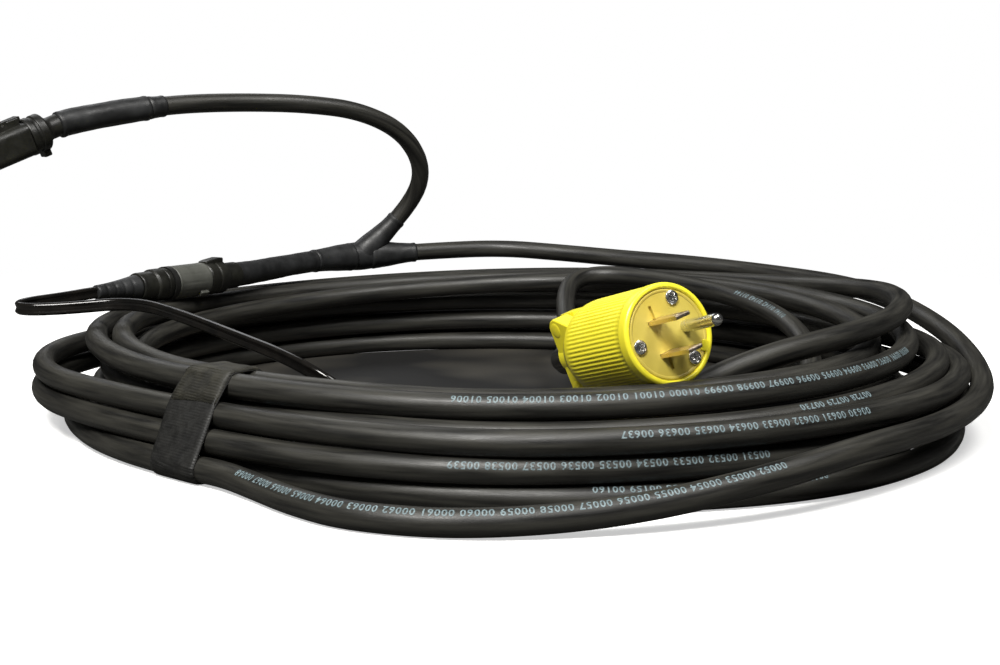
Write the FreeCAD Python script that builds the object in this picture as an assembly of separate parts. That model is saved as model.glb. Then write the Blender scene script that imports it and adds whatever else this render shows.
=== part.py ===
import FreeCAD, Part
import math
import os

# A shore power cord wound in a loose coil that lies on the floor, in millimetres.
# X runs to the right and Y away from the viewer; Z is up, and the floor is at Z = 0.
# Places below are measured from the coil's centre, and the whole cord is moved by these two at the end,
# so that the origin is under the middle of its box.
centre_x = 24.3
centre_y = 7.8

# Driving dimensions of the cords
cord_diameter = 10.0
thin_cord_diameter = 6.0
flat_depth = 0.5
end_straight = cord_diameter
lead_in = 30.0
bend_share = 0.45

# The coil: turns, layers and the radius and spacing at four places round it, clockwise from the tape
turns = 10.5
turns_in_layer = 2.75
tape_azimuth = 231.5
# each place: radius of the outermost strand, angle by which a strand leans out of square,
# spacing of the columns and of the layers in cord diameters, how far inward a layer lies from the one below
tape_place = dict(radius=189.5, swing=1.0, column=1.08, layer=1.06, inward=0.4, lift=2.1)
back_left_place = dict(radius=214.0, swing=2.0, column=1.16, layer=1.08, inward=2.5, lift=0.0)
back_right_place = dict(radius=212.0, swing=-4.0, column=1.22, layer=1.3, inward=4.0, lift=0.0)
front_right_place = dict(radius=216.0, swing=6.5, column=1.16, layer=1.1, inward=4.0, lift=0.0)
places = [tape_place, back_left_place, back_right_place, front_right_place]

# Plug: its own axes run along the blade separation, towards the ground pin and out of the face
plug_face_centre = (62.5, -158.0, 57.6)
plug_axis = (0.461, -0.854, 0.240)
plug_across = (0.368, -0.062, -0.928)
plug_radius = 19.35
plug_length = 70.0
barrel_length = 45.0
shoulder_length = 11.0
shoulder_radius = 13.5
saddle_radius = 10.0
ear_depth = 6.0
ear_inset = 3.0
back_lip = 1.0
rib_count = 56
rib_height = 0.5
rim_height = 5.0
plug_wall = 3.6
face_thickness = 2.8
face_recess = 0.9
face_radius = 17.1
carrier_length = 18.0
carrier_play = 0.7
pocket_length = 8.0
pocket_half_width = 3.6
pocket_floor = 0.8
leg_length = 5.2
leg_half_width = 0.65
leg_depth = 1.2
blade_gap = 12.7
blade_width = 6.3
blade_thickness = 1.5
blade_reach = 17.3
ground_diameter = 4.75
ground_reach = 21.0
ground_offset = 11.9
blade_line = -3.5
root_step = 0.2
screw_circle = 13.9
tab_angle = 54.0
tab_length = 2.4
tab_half_width = 2.0
screw_radius = 1.4
screw_head_radius = 2.7
screw_head_height = 1.3
cross_arm = 1.7
cross_half_width = 0.4
cross_depth = 0.8
terminal_head_radius = 2.6
terminal_shank = 2.2
terminal_head_height = 1.7
clamp_half_width = 17.0
clamp_height = 11.0
clamp_screw_place = 12.3
clamp_bar_height = 6.5
clamp_bow_radius = 9.0
wire_radius = 1.25
clearance = 0.1

# Heat-shrink sleeves and the split boot
sleeve_radius = 6.7
sleeve_bore = cord_diameter / 2 + clearance
split_place = (-83.0, 197.0, 54.0)
split_radius = 8.2
split_entry = 6.0
arch_entry = 16.5
split_arm = 28.0
arch_arm = 30.0
split_taper = 1.6

# Connector A stands at the end of the upper branch; distances run along its axis from the cord's end
a_start = (-222.0, 70.0, 132.5)
a_axis = (-0.70, -0.62, -0.35)
a_neck_radius = 6.9
a_neck_start = -2.0
a_neck_end = 10.0
a_flange_radius = 9.6
a_flange_end = 20.0
a_lug_height = 2.6
a_cord_stop = 8.0
a_body_width = 20.0
a_body_height = 16.5
a_body_length = 34.0
a_wall = 2.0
a_corner = 4.0
a_pin_spacing = 5.0
a_hollow_start = 12.0
a_latch_length = 36.6
a_latch_hook = 1.4
a_latch_gap = 1.6
a_latch_thickness = 2.0
a_latch_half_width = 3.3
a_pin_place = 10.5
a_pin_radius = 0.75
a_pin_half_length = 5.5

# Connector B lies on the back left of the coil
b_start = (-142.5, 110.0, 51.8)
b_axis = (-0.538, -0.843, 0.0)
b_neck_end = 11.5
b_body_radius = 8.6
b_nose_radius = 7.0
b_nose_end = 44.0
b_cord_stop = 10.0
b_key_height = 3.4
b_collar_radius = 8.7
b_collar_start = 26.0
b_collar_end = 49.5
b_lug_angle = 225.0
b_lug_height = 1.5
b_lug_half_width = 1.6
b_seal_end = 53.0
b_mate_radius = 8.2
b_mate_end = 63.0
b_step_radius = 7.2
b_step_end = 72.8
b_boot_end = 99.5
b_boot_radii = (6.3, 3.9)
b_boot_bore_start = 88.0
contact_radius = 0.8
contact_circle = 3.4
running_clearance = 0.05

# Cloth tape round the bundle
tape_width = 27.0
tape_thickness = 0.8
tape_room = 0.7
tape_corner = 5.0
tail_length = 38.0

# Routes of the free cords, chosen by hand, from the coil's centre
floor_level = cord_diameter / 2
lead_points = [
    (168, 92, 45), (187, 56, 47), (190, 18, 49), (184, -26, 51.3), (166, -69, 51), (140, -105, 49.5),
    (107, -128, 45.5), (82, -138, 38), (56, -143, 25), (22, -148, 13), (-18, -146, 6),
    (-56, -132, floor_level), (-86, -105, floor_level), (-97, -68, floor_level), (-86, -33, floor_level),
    (-54, -13, floor_level), (-16, -20, floor_level), (15, -47, floor_level), (45, -77, floor_level),
    (83, -88, floor_level), (118, -70, 7), (140, -35, 16), (148, 8, 27), (143, 52, 36), (124, 94, 42),
    (95, 126, 46), (70, 146, 48), (51, 151, 47.5), (39, 139, 44.5), (35, 114, 38),
    (35, 84, 30), (34, 50, 24), (28, 5, 20), (19, -40, 24)]
outer_points = [
    (-43, 210, 55.8), (0, 216.2, 57.2), (37, 207.5, 55), (71, 192, 53.1), (110, 171.7, 51.7),
    (149, 146, 49.3), (186, 106, 47), (205, 62, 42), (216, 8, 32.5), (213, -42, 22), (196, -88, 17.5),
    (168, -136, 17), (128, -182, 19), (89, -210, 14.5), (40, -226, 7.5), (-10, -232, floor_level),
    (-50, -221, floor_level), (-72, -200, floor_level)]
arch_points = [
    (-56, 204, 80), (-44, 195, 103), (-54, 180, 126), (-78, 165, 139), (-108, 151, 143.5), (-140, 137, 144),
    (-168, 116, 143.5), (-190, 97, 141.5)]
side_points = [(-101, 181, 53.7), (-122, 152, 52.4)]
thin_points = [
    (-206, 10, 52), (-222, -10, 51.5), (-219, -23, 51), (-200, -22, 51.5), (-167, -16, 52), (-138, -50, 50),
    (-106, -92, 46), (-85, -116, 42.5), (-68, -130, 36), (-55, -127, 25), (-49.5, -110, 13.5),
    (-46, -90, floor_level)]

# The small plug on the thin cord's far end; it lies on the floor
thin_plug_radius = 5.0
thin_plug_start = (-43.5, -70.0, thin_plug_radius)
thin_plug_axis = (0.125, 1.0, 0.0)
thin_plug_length = 24.0
barrel_root_length = 8.0
barrel_radius = 2.75
barrel_bore = 1.25
barrel_reach = 9.5

parts_folder = "parts"
vector = FreeCAD.Vector


def save(name, solids):
    """Move the solids to the part's own frame and write them as one node."""
    shape = solids if isinstance(solids, Part.Shape) else Part.makeCompound(solids)
    shape = shape.copy()
    shape.translate(vector(centre_x, centre_y, 0))
    shape.exportStep(os.path.join(parts_folder, name + ".step"))
    box = shape.BoundBox
    saved[name] = box
    print("%-18s %d solids, %9.1f mm3, valid %s" % (name, len(shape.Solids), shape.Volume, shape.isValid()))


saved = {}


def arc_between(start, corner, end):
    """The arc that leaves start towards corner and reaches end from it."""
    middle = (start + end) * 0.5
    half_chord = (end - start).Length / 2
    rise = corner - middle
    if rise.Length < 1e-4:
        return Part.LineSegment(start, end).toShape()
    half_turn = math.atan2(rise.Length, half_chord)
    crown = middle + rise * (half_chord * math.tan(half_turn / 2) / rise.Length)
    return Part.Arc(start, crown, end).toShape()


def route(points, name):
    """Straight runs joined by tangent arcs that each take the same share of the shorter run."""
    edges = []
    last = points[0]
    least = 1e9
    for before, corner, after in zip(points, points[1:], points[2:]):
        run_in = corner - before
        run_out = after - corner
        turn = run_in.getAngle(run_out)
        setback = bend_share * min(run_in.Length, run_out.Length)
        radius = setback / math.tan(turn / 2)
        least = min(least, radius)
        arc_start = corner - run_in * (setback / run_in.Length)
        arc_end = corner + run_out * (setback / run_out.Length)
        edges.append(Part.LineSegment(last, arc_start).toShape())
        edges.append(arc_between(arc_start, corner, arc_end))
        last = arc_end
    edges.append(Part.LineSegment(last, points[-1]).toShape())
    wire = Part.Wire(edges)
    print("%-18s length %7.1f mm, tightest radius %5.1f mm" % (name, wire.Length, least))
    return wire


def ring_at(point, direction, radius):
    return Part.Wire([Part.makeCircle(radius, point, direction)])


def tube(wire, start, direction, radius, name):
    """A round cord along a wire, with its volume compared with section times length."""
    solid = wire.makePipeShell([ring_at(start, direction, radius)], True, False)
    expected = math.pi * radius * radius * wire.Length
    print("%-18s volume %.4f of section x length" % (name, solid.Volume / expected))
    return solid


def cord(points, diameter, name):
    wire = route(points, name)
    return tube(wire, points[0], points[1] - points[0], diameter / 2, name)


# The coil

def strand(turn):
    """Place and direction of the wound cord after turn turns, for whole quarters of a turn."""
    quarter = int(round(turn * 4))
    place = places[quarter % 4]
    azimuth = math.radians(tape_azimuth - 90.0 * quarter)
    layers_done, into_layer = divmod(turn, turns_in_layer)
    inward_going = int(layers_done) % 2 == 0
    across = into_layer if inward_going else turns_in_layer - into_layer
    column = place["column"] * cord_diameter
    layer = place["layer"] * cord_diameter
    reverse = min(abs(turn - turns_in_layer * k) for k in (1, 2, 3))
    if reverse < 0.01:
        height = layers_done - 0.5
        climb = 1.5 * layer / (math.pi * place["radius"])
        drift = 0.0
    else:
        height = layers_done
        climb = 0.0
        drift = column / (2 * math.pi * place["radius"]) * (1 if inward_going else -1)
    radius = place["radius"] - across * column - height * place["inward"]
    up = cord_diameter / 2 - flat_depth + place["lift"] + height * layer
    outward = vector(math.cos(azimuth), math.sin(azimuth), 0)
    onward = vector(math.sin(azimuth), -math.cos(azimuth), 0)
    swing = math.radians(place["swing"]) - drift
    direction = onward * math.cos(swing) + outward * math.sin(swing) + vector(0, 0, climb)
    direction.normalize()
    return outward * radius + vector(0, 0, up), direction


def biarc(start, start_way, end, end_way):
    """Two arcs that meet smoothly and keep the direction at both ends."""
    across = end - start
    ways = start_way + end_way
    spread = 2 * (1 - start_way.dot(end_way))
    reach = (-across.dot(ways) + math.sqrt(across.dot(ways) ** 2 + spread * across.dot(across))) / spread
    corner_one = start + start_way * reach
    corner_two = end - end_way * reach
    joint = (corner_one + corner_two) * 0.5
    return [arc_between(start, corner_one, joint), arc_between(joint, corner_two, end)]


def coil_wire():
    stations = [strand(0.25 * k) for k in range(int(turns * 4) + 1)]
    first_place, first_way = stations[0]
    last_place, last_way = stations[-1]
    edges = [Part.LineSegment(first_place - first_way * end_straight, first_place).toShape()]
    for (start, start_way), (end, end_way) in zip(stations, stations[1:]):
        edges += biarc(start, start_way, end, end_way)
    edges.append(Part.LineSegment(last_place, last_place + last_way * end_straight).toShape())
    return Part.Wire(edges)


def least_gap(wire, diameter, step=3.0):
    """Smallest clear distance between strands, from points along the wire sorted into cells."""
    spots = []
    for edge in wire.Edges:
        spots += edge.discretize(Distance=step)
    size = 2 * diameter
    cells = {}
    for index, spot in enumerate(spots):
        key = (int(spot.x // size), int(spot.y // size), int(spot.z // size))
        cells.setdefault(key, []).append(index)
    near = 1e9
    skip = int(6 * diameter / step)
    for (i, j, k), members in cells.items():
        others = []
        for a in (-1, 0, 1):
            for b in (-1, 0, 1):
                for c in (-1, 0, 1):
                    others += cells.get((i + a, j + b, k + c), [])
        for one in members:
            for two in others:
                if two - one > skip:
                    near = min(near, spots[one].distanceToPoint(spots[two]))
    return near - diameter


# Pieces made in their own axes, with Z along the piece

def rod(radius, bottom, top, x=0.0, y=0.0):
    return Part.makeCylinder(radius, top - bottom, vector(x, y, bottom))


def cone(radius_bottom, radius_top, bottom, top):
    return Part.makeCone(radius_bottom, radius_top, top - bottom, vector(0, 0, bottom))


def block(x0, x1, y0, y1, z0, z1):
    return Part.makeBox(x1 - x0, y1 - y0, z1 - z0, vector(x0, y0, z0))


def place_of(origin, axis, across):
    """The placement with Z along axis and X as near across as can be."""
    third = vector(*axis).normalize()
    side = vector(*across)
    first = (side - third * side.dot(third)).normalize()
    second = third.cross(first)
    return FreeCAD.Placement(FreeCAD.Matrix(
        first.x, second.x, third.x, origin.x,
        first.y, second.y, third.y, origin.y,
        first.z, second.z, third.z, origin.z,
        0, 0, 0, 1))


def put(shape, placement):
    moved = shape.copy()
    moved.Placement = placement.multiply(moved.Placement)
    return moved


# The plug

plug_place = place_of(vector(*plug_face_centre), plug_axis, plug_across)
barrel_back = -barrel_length
shoulder_back = barrel_back - shoulder_length
plug_back = -plug_length
cord_stop = barrel_back - 1.0
face_back = -face_recess - face_thickness
carrier_front = face_back - clearance
carrier_back = carrier_front - carrier_length
carrier_radius = plug_radius - plug_wall - carrier_play
contact_back = carrier_back + 2.0
pocket_bottom = contact_back + pocket_floor
pocket_top = pocket_bottom + pocket_length
terminal_height = (pocket_bottom + pocket_top) / 2 + pocket_floor
clamp_back = plug_back + back_lip
clamp_middle = clamp_back + clamp_height / 2
ground_line = blade_line + ground_offset
screw_places = [(0.0, -screw_circle)]
screw_places += [(side * screw_circle * math.sin(math.radians(60)), screw_circle * 0.5) for side in (-1, 1)]


def ribbed_barrel():
    points = []
    for k in range(rib_count):
        for part, radius in ((0.0, plug_radius - rib_height), (0.5, plug_radius)):
            for edge in (0.1, 0.4):
                angle = 2 * math.pi * (k + part + edge) / rib_count
                points.append(vector(radius * math.cos(angle), radius * math.sin(angle), barrel_back))
    points.append(points[0])
    return Part.Face(Part.makePolygon(points)).extrude(vector(0, 0, barrel_length - rim_height))


def plug_shell():
    inner_radius = plug_radius - plug_wall
    shell = ribbed_barrel()
    shell = shell.fuse(rod(plug_radius, -rim_height, 0))
    shell = shell.fuse(cone(shoulder_radius, plug_radius - rib_height, shoulder_back, barrel_back))
    saddle = rod(saddle_radius, clamp_back, shoulder_back)
    saddle = saddle.cut(block(-12, 12, 0, 12, plug_back, shoulder_back - back_lip))
    ears = block(-clamp_half_width, clamp_half_width, -ear_depth, 0, clamp_back, clamp_back + clamp_height)
    web_half = clamp_half_width - ear_inset
    webs = block(-web_half, web_half, -ear_depth, 0, plug_back + clamp_height, shoulder_back + 2)
    shell = shell.fuse(saddle).fuse(ears).fuse(webs)
    shell = shell.cut(rod(inner_radius, barrel_back + 3.0, face_back))
    shell = shell.cut(rod(face_radius + clearance, face_back, 1.0))
    shell = shell.cut(rod(cord_diameter / 2 + clearance, plug_back - 1, barrel_back + 4.0))
    for side in (-1, 1):
        hole = side_rod(screw_radius + clearance, -7.0, 1.0, side * clamp_screw_place, clamp_middle)
        shell = shell.cut(hole)
    tab = block(face_radius - tab_length, face_radius + 1.0, -tab_half_width, tab_half_width,
                -face_recess + clearance, 0)
    tab.rotate(vector(0, 0, 0), vector(0, 0, 1), tab_angle)
    return shell.fuse(tab).removeSplitter()


def side_rod(radius, low, high, x, z):
    """A rod along Y at the given X and Z."""
    return Part.makeCylinder(radius, high - low, vector(x, low, z), vector(0, 1, 0))


def plug_face():
    face = rod(face_radius, face_back, -face_recess)
    for side in (-1, 1):
        middle = side * blade_gap / 2
        half = blade_thickness / 2 + clearance
        slot_half = blade_width / 2 + clearance
        face = face.cut(block(middle - half, middle + half, blade_line - slot_half, blade_line + slot_half,
                              face_back - 1, 0))
        leg_start = middle + side * half
        leg_end = leg_start + side * leg_length
        face = face.cut(block(min(leg_start, leg_end), max(leg_start, leg_end), blade_line - leg_half_width,
                              blade_line + leg_half_width, -face_recess - leg_depth, 0))
    root_hole = ground_diameter / 2 - root_step + clearance
    face = face.cut(rod(root_hole, face_back - 1, 0, 0, ground_line))
    for x, y in screw_places:
        face = face.cut(rod(screw_radius + clearance, face_back - 1, 0, x, y))
    return face


def contact_carrier():
    carrier = rod(carrier_radius, carrier_back, carrier_front)
    for side in (-1, 1):
        middle = side * blade_gap / 2
        half = blade_thickness / 2 + clearance
        slot_half = blade_width / 2 + clearance
        slot = block(middle - half, middle + half, blade_line - slot_half, blade_line + slot_half,
                     contact_back - clearance, 1)
        carrier = carrier.cut(slot)
        inner = middle - side * half
        outer = side * 20
        carrier = carrier.cut(block(min(inner, outer), max(inner, outer), blade_line - pocket_half_width,
                                    blade_line + pocket_half_width, carrier_back - 1, pocket_top))
    root_hole = ground_diameter / 2 - root_step + clearance
    carrier = carrier.cut(rod(root_hole, contact_back - clearance, 1, 0, ground_line))
    carrier = carrier.cut(block(-pocket_half_width, pocket_half_width, ground_line, 20, carrier_back - 1,
                                pocket_top))
    for x, y in screw_places:
        carrier = carrier.cut(rod(screw_radius + clearance, carrier_back + 1.5, 1, x, y))
    return carrier


def blade(side):
    middle = side * blade_gap / 2
    half = blade_thickness / 2
    flat = block(middle - half, middle + half, blade_line - blade_width / 2, blade_line + blade_width / 2,
                 contact_back, blade_reach)
    tip_edges = [edge for edge in flat.Edges if edge.BoundBox.ZMin > blade_reach - 0.01 and edge.Length > 2]
    return flat.makeChamfer(0.45, tip_edges)


def ground_pin():
    radius = ground_diameter / 2
    root = rod(radius - root_step, contact_back, -face_recess, 0, ground_line)
    straight = rod(radius, -face_recess, ground_reach - radius, 0, ground_line)
    nose = Part.makeSphere(radius, vector(0, ground_line, ground_reach - radius))
    return straight.fuse(nose).fuse(root).removeSplitter()


def cross_head(head, top):
    """Cut a cross recess into a screw head that ends at top."""
    floor = top - cross_depth
    head = head.cut(block(-cross_arm, cross_arm, -cross_half_width, cross_half_width, floor, top + 1))
    return head.cut(block(-cross_half_width, cross_half_width, -cross_arm, cross_arm, floor, top + 1))


def face_screws():
    top = -face_recess + screw_head_height
    pieces = []
    for x, y in screw_places:
        head = cross_head(rod(screw_head_radius, -face_recess, top), top)
        screw = head.fuse(rod(screw_radius, carrier_back + 1.6, -face_recess))
        screw.translate(vector(x, y, 0))
        pieces.append(screw)
    return Part.makeCompound(pieces)


def terminal_screws():
    """Each stands on the outside of its contact, in its pocket."""
    side_face = blade_gap / 2 + blade_thickness / 2
    head_top = terminal_shank + terminal_head_height
    shank = rod(screw_radius, 0.0, terminal_shank)
    screw = shank.fuse(cross_head(rod(terminal_head_radius, terminal_shank, head_top), head_top))
    pieces = []
    for side in (-1, 1):
        stand = place_of(vector(side * side_face, blade_line, terminal_height), (side, 0, 0), (0, 1, 0))
        pieces.append(put(screw, stand))
    root_radius = ground_diameter / 2 - root_step
    short = rod(screw_radius, -0.5, 1.4).fuse(cross_head(rod(terminal_head_radius, 1.4, 3.0), 3.0))
    short = short.cut(put(rod(root_radius + 0.01, -9, 9), place_of(
        vector(0, 0, -root_radius), (0, 1, 0), (1, 0, 0))))
    stand = place_of(vector(0, ground_line + root_radius, terminal_height), (0, 1, 0), (1, 0, 0))
    pieces.append(put(short, stand))
    return Part.makeCompound(pieces)


def conductor(target_x, target_y, start_x, start_y, name):
    """A wire from the cord's end to just short of a terminal screw's head."""
    stop = terminal_height - terminal_head_radius - 0.15
    points = [vector(start_x, start_y, cord_stop), vector(start_x, start_y, cord_stop + 6),
              vector(target_x, target_y, stop - 6), vector(target_x, target_y, stop)]
    return cord(points, 2 * wire_radius, name)


def cord_clamp_bar():
    bar_piece = block(-clamp_half_width, clamp_half_width, clearance, clamp_bar_height, clamp_back,
                      plug_back + clamp_height)
    bow = rod(clamp_bow_radius, clamp_back, plug_back + clamp_height)
    bar_piece = bar_piece.fuse(bow.cut(block(-12, 12, -12, 1.0, plug_back, shoulder_back)))
    bar_piece = bar_piece.cut(rod(cord_diameter / 2 + clearance, plug_back - 1, shoulder_back))
    for side in (-1, 1):
        hole = side_rod(screw_radius + clearance, 0.0, clamp_bar_height + 0.5, side * clamp_screw_place,
                        clamp_middle)
        bar_piece = bar_piece.cut(hole)
    return bar_piece


def clamp_screws():
    pieces = []
    for side in (-1, 1):
        shank = rod(screw_radius, 0.2 - ear_depth, clamp_bar_height)
        head_top = clamp_bar_height + 1.5
        head = cross_head(rod(screw_head_radius, clamp_bar_height, head_top), head_top)
        stand = place_of(vector(side * clamp_screw_place, 0, clamp_middle), (0, 1, 0), (1, 0, 0))
        pieces.append(put(shank.fuse(head), stand))
    return Part.makeCompound(pieces)


def save_plug():
    save("plug_shell", put(plug_shell(), plug_place))
    save("plug_face", put(plug_face(), plug_place))
    save("contact_carrier", put(contact_carrier(), plug_place))
    report_axis("ground_pin", plug_place, vector(0, ground_line, -face_recess), vector(0, 0, 1))
    report_axis("hot blade", plug_place, vector(blade_gap / 2, blade_line, -face_recess), vector(0, 0, 1))
    save("blade_hot", put(blade(1), plug_place))
    save("blade_neutral", put(blade(-1), plug_place))
    save("ground_pin", put(ground_pin(), plug_place))
    save("face_screws", put(face_screws(), plug_place))
    save("terminal_screws", put(terminal_screws(), plug_place))
    save("cord_clamp_bar", put(cord_clamp_bar(), plug_place))
    save("clamp_screws", put(clamp_screws(), plug_place))
    terminal_out = blade_gap / 2 + blade_thickness / 2 + 1.6
    ground_out = ground_line + ground_diameter / 2 + 1.5
    ends = [("conductor_black", terminal_out, blade_line, 2.4, -1.5),
            ("conductor_white", -terminal_out, blade_line, -2.4, -1.5),
            ("conductor_green", 0, ground_out, 0, 2.7)]
    for name, target_x, target_y, start_x, start_y in ends:
        save(name, put(conductor(target_x, target_y, start_x, start_y, name), plug_place))


# The free cords

def vectors(points):
    return [vector(*point) for point in points]


def save_lead(last_place, last_way):
    """From the end of the coil round the inside of the ring to the plug, and into it."""
    back = vector(*plug_face_centre) + plug_way * plug_back
    points = [last_place + last_way * end_straight, last_place + last_way * (end_straight + lead_in)]
    points += vectors(lead_points)
    points += [back - plug_way * 14.0, back + plug_way * (cord_stop - plug_back)]
    save("plug_lead", cord(points, cord_diameter, "plug_lead"))


plug_way = vector(*plug_axis).normalize()
split_centre = vector(*split_place)


def save_split(first_place, first_way):
    """The outer turn, both branches, and the moulded boot where the three cords meet."""
    outer_start = split_centre + (vector(*outer_points[0]) - split_centre).normalize() * split_entry
    outer = [outer_start] + vectors(outer_points)
    outer += [first_place - first_way * (end_straight + lead_in), first_place - first_way * end_straight]
    outer_wire = route(outer, "outer_turn")
    outer_tube = tube(outer_wire, outer[0], outer[1] - outer[0], cord_diameter / 2, "outer_turn")
    side_way = (vector(*side_points[0]) - split_centre).normalize()
    side = [split_centre + side_way * split_entry] + vectors(side_points)
    side += [b_origin - b_way * 12.0, b_origin + b_way * 10.0]
    side_wire = route(side, "branch_side")
    side_tube = tube(side_wire, side[0], side[1] - side[0], cord_diameter / 2, "branch_side")
    arch_way = (vector(*arch_points[0]) - split_centre).normalize()
    arch_start = split_centre + arch_way * arch_entry
    arch = [arch_start] + vectors(arch_points) + [a_origin - a_way * 17.0, a_origin + a_way * 8.0]
    arch_wire = route(arch, "branch_arch")
    arch_tube = tube(arch_wire, arch[0], arch[1] - arch[0], cord_diameter / 2, "branch_arch")
    save("outer_turn", outer_tube)
    save("branch_side", side_tube)
    save("branch_arch", arch_tube)
    boot = boot_arm(outer_start - split_centre, split_arm).fuse(boot_arm(side_way, split_arm))
    boot = boot.fuse(boot_arm(arch_way, arch_arm)).fuse(Part.makeSphere(split_radius, split_centre))
    for wire, points in ((outer_wire, outer), (side_wire, side), (arch_wire, arch)):
        near_end = Part.Wire(wire.OrderedEdges[:6])
        boot = boot.cut(tube(near_end, points[0], points[1] - points[0], sleeve_bore, "split_boot bore"))
    save("split_boot", boot)
    save("sleeve_a", sleeve(arch_wire, 4, a_origin - a_way * 2.3, "sleeve_a"))
    save("sleeve_b", sleeve(side_wire, 5, b_origin - b_way * 0.3, "sleeve_b"))


def boot_arm(way, length):
    arm = cone(split_radius, split_radius - split_taper, 0, length)
    return put(arm, place_of(split_centre, tuple(way), (0, 0, 1)))


def sleeve(wire, edge_count, stop, name):
    """A shrunk sleeve over the last few edges of a cord's route, up to stop."""
    edges = wire.OrderedEdges[-edge_count:-1]
    corner_end = edges[-1].Vertexes[-1].Point
    if corner_end.distanceToPoint(stop) > edges[-1].Vertexes[0].Point.distanceToPoint(stop):
        corner_end = edges[-1].Vertexes[0].Point
    covered = Part.Wire(edges + [Part.LineSegment(corner_end, stop).toShape()])
    start = covered.OrderedVertexes[0].Point
    way = covered.OrderedEdges[0].tangentAt(covered.OrderedEdges[0].FirstParameter)
    outside = tube(covered, start, way, sleeve_radius, name)
    inside = tube(covered, start, way, sleeve_bore, name + " bore")
    return outside.cut(inside)


# Connector A

a_origin = vector(*a_start)
a_way = vector(*a_axis).normalize()
a_place = place_of(a_origin, a_axis, (0, 0, 1))
a_body_start = a_flange_end + 1.0
a_body_end = a_body_start + a_body_length


def save_connector_a():
    """Its X is towards the latch, on top."""
    shell = rod(a_neck_radius, a_neck_start, a_neck_end).fuse(rod(a_flange_radius, a_neck_end, a_flange_end))
    shell = shell.fuse(block(-a_flange_radius - a_lug_height, -6, -3.0, 3.0, a_neck_end + 1, a_neck_end + 5))
    shell = shell.cut(rod(sleeve_bore, a_neck_start - 1, a_cord_stop + clearance))
    shell = shell.cut(rod(3.2, a_cord_stop, a_flange_end + 1))
    save("shell_a", put(shell, a_place))
    half_width = a_body_width / 2
    half_height = a_body_height / 2
    body = block(-half_height, half_height, -half_width, half_width, a_body_start, a_body_end)
    corners = [edge for edge in body.Edges if edge.BoundBox.ZLength > a_body_length - 1]
    body = body.makeFillet(a_corner, corners)
    hollow = block(-half_height + a_wall, half_height - a_wall, -half_width + a_wall, half_width - a_wall,
                   a_body_start + a_hollow_start, a_body_end + 1)
    body = body.cut(hollow)
    spots = (-a_pin_spacing, 0.0, a_pin_spacing)
    for spot in spots:
        bore_end = a_body_start + a_hollow_start + 1
        body = body.cut(rod(contact_radius + clearance, a_body_start - 1, bore_end, 0, spot))
    for low in (6.0, 11.0):
        body = body.cut(block(-half_height - 1, -half_height + 0.8, -7.0, 7.0, a_body_start + low,
                              a_body_start + low + 2.5))
    pin_height = half_height + a_latch_gap + a_latch_thickness / 2
    pin_at = a_body_start + a_pin_place
    for low, high in ((-a_pin_half_length, -3.6), (3.6, a_pin_half_length)):
        body = body.fuse(block(half_height - 1.0, pin_height + 1.5, low, high, pin_at - 2.5, pin_at + 2.5))
    pin_hole = cross_rod(a_pin_radius + running_clearance, 7.0, pin_height, pin_at)
    body = body.cut(pin_hole)
    save("body_a", put(body, a_place))
    seal = rod(a_neck_radius + 1.2, a_flange_end + clearance, a_body_start - clearance)
    seal = seal.cut(rod(6.2, a_flange_end - 1, a_body_start + 1))
    save("seal_a", put(seal, a_place))
    pins = [rod(contact_radius, a_body_start + 1.0, a_body_start + 25.0, 0, spot) for spot in spots]
    save("contacts_a", put(Part.makeCompound(pins), a_place))
    save("latch_pin_a", put(cross_rod(a_pin_radius, a_pin_half_length, pin_height, pin_at), a_place))
    latch_start = a_body_start - 0.4
    latch_end = latch_start + a_latch_length
    latch_low = pin_height - a_latch_thickness / 2
    half = a_latch_half_width
    latch = block(latch_low, latch_low + a_latch_thickness, -half, half, latch_start, latch_end)
    hook = block(latch_low - a_latch_hook, latch_low + 0.5, -half, half, latch_end - 1.8, latch_end)
    latch = latch.fuse(hook)
    latch = latch.fuse(cross_rod(a_pin_radius + 1.15, half, pin_height, pin_at)).cut(pin_hole)
    save("latch_a", put(latch, a_place))
    report_axis("latch_a", a_place, vector(pin_height, 0, pin_at), vector(0, 1, 0))


def cross_rod(radius, half_length, x, z):
    """A rod along Y, centred, at the given X and Z."""
    return Part.makeCylinder(radius, 2 * half_length, vector(x, -half_length, z), vector(0, 1, 0))


def report_axis(name, placement, point, way):
    at = placement.multVec(point) + vector(centre_x, centre_y, 0)
    axis = placement.Rotation.multVec(way)
    print("axis of %s at %.4f %.4f %.4f along %.6f %.6f %.6f" % ((name,) + tuple(at) + tuple(axis)))


# Connector B

b_origin = vector(*b_start)
b_way = vector(*b_axis).normalize()
b_place = place_of(b_origin, b_axis, (0, 0, 1))
contact_angles = [math.radians(120.0 * k) for k in range(3)]
contact_places_b = [(contact_circle * math.cos(angle), contact_circle * math.sin(angle))
                    for angle in contact_angles]


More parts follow.
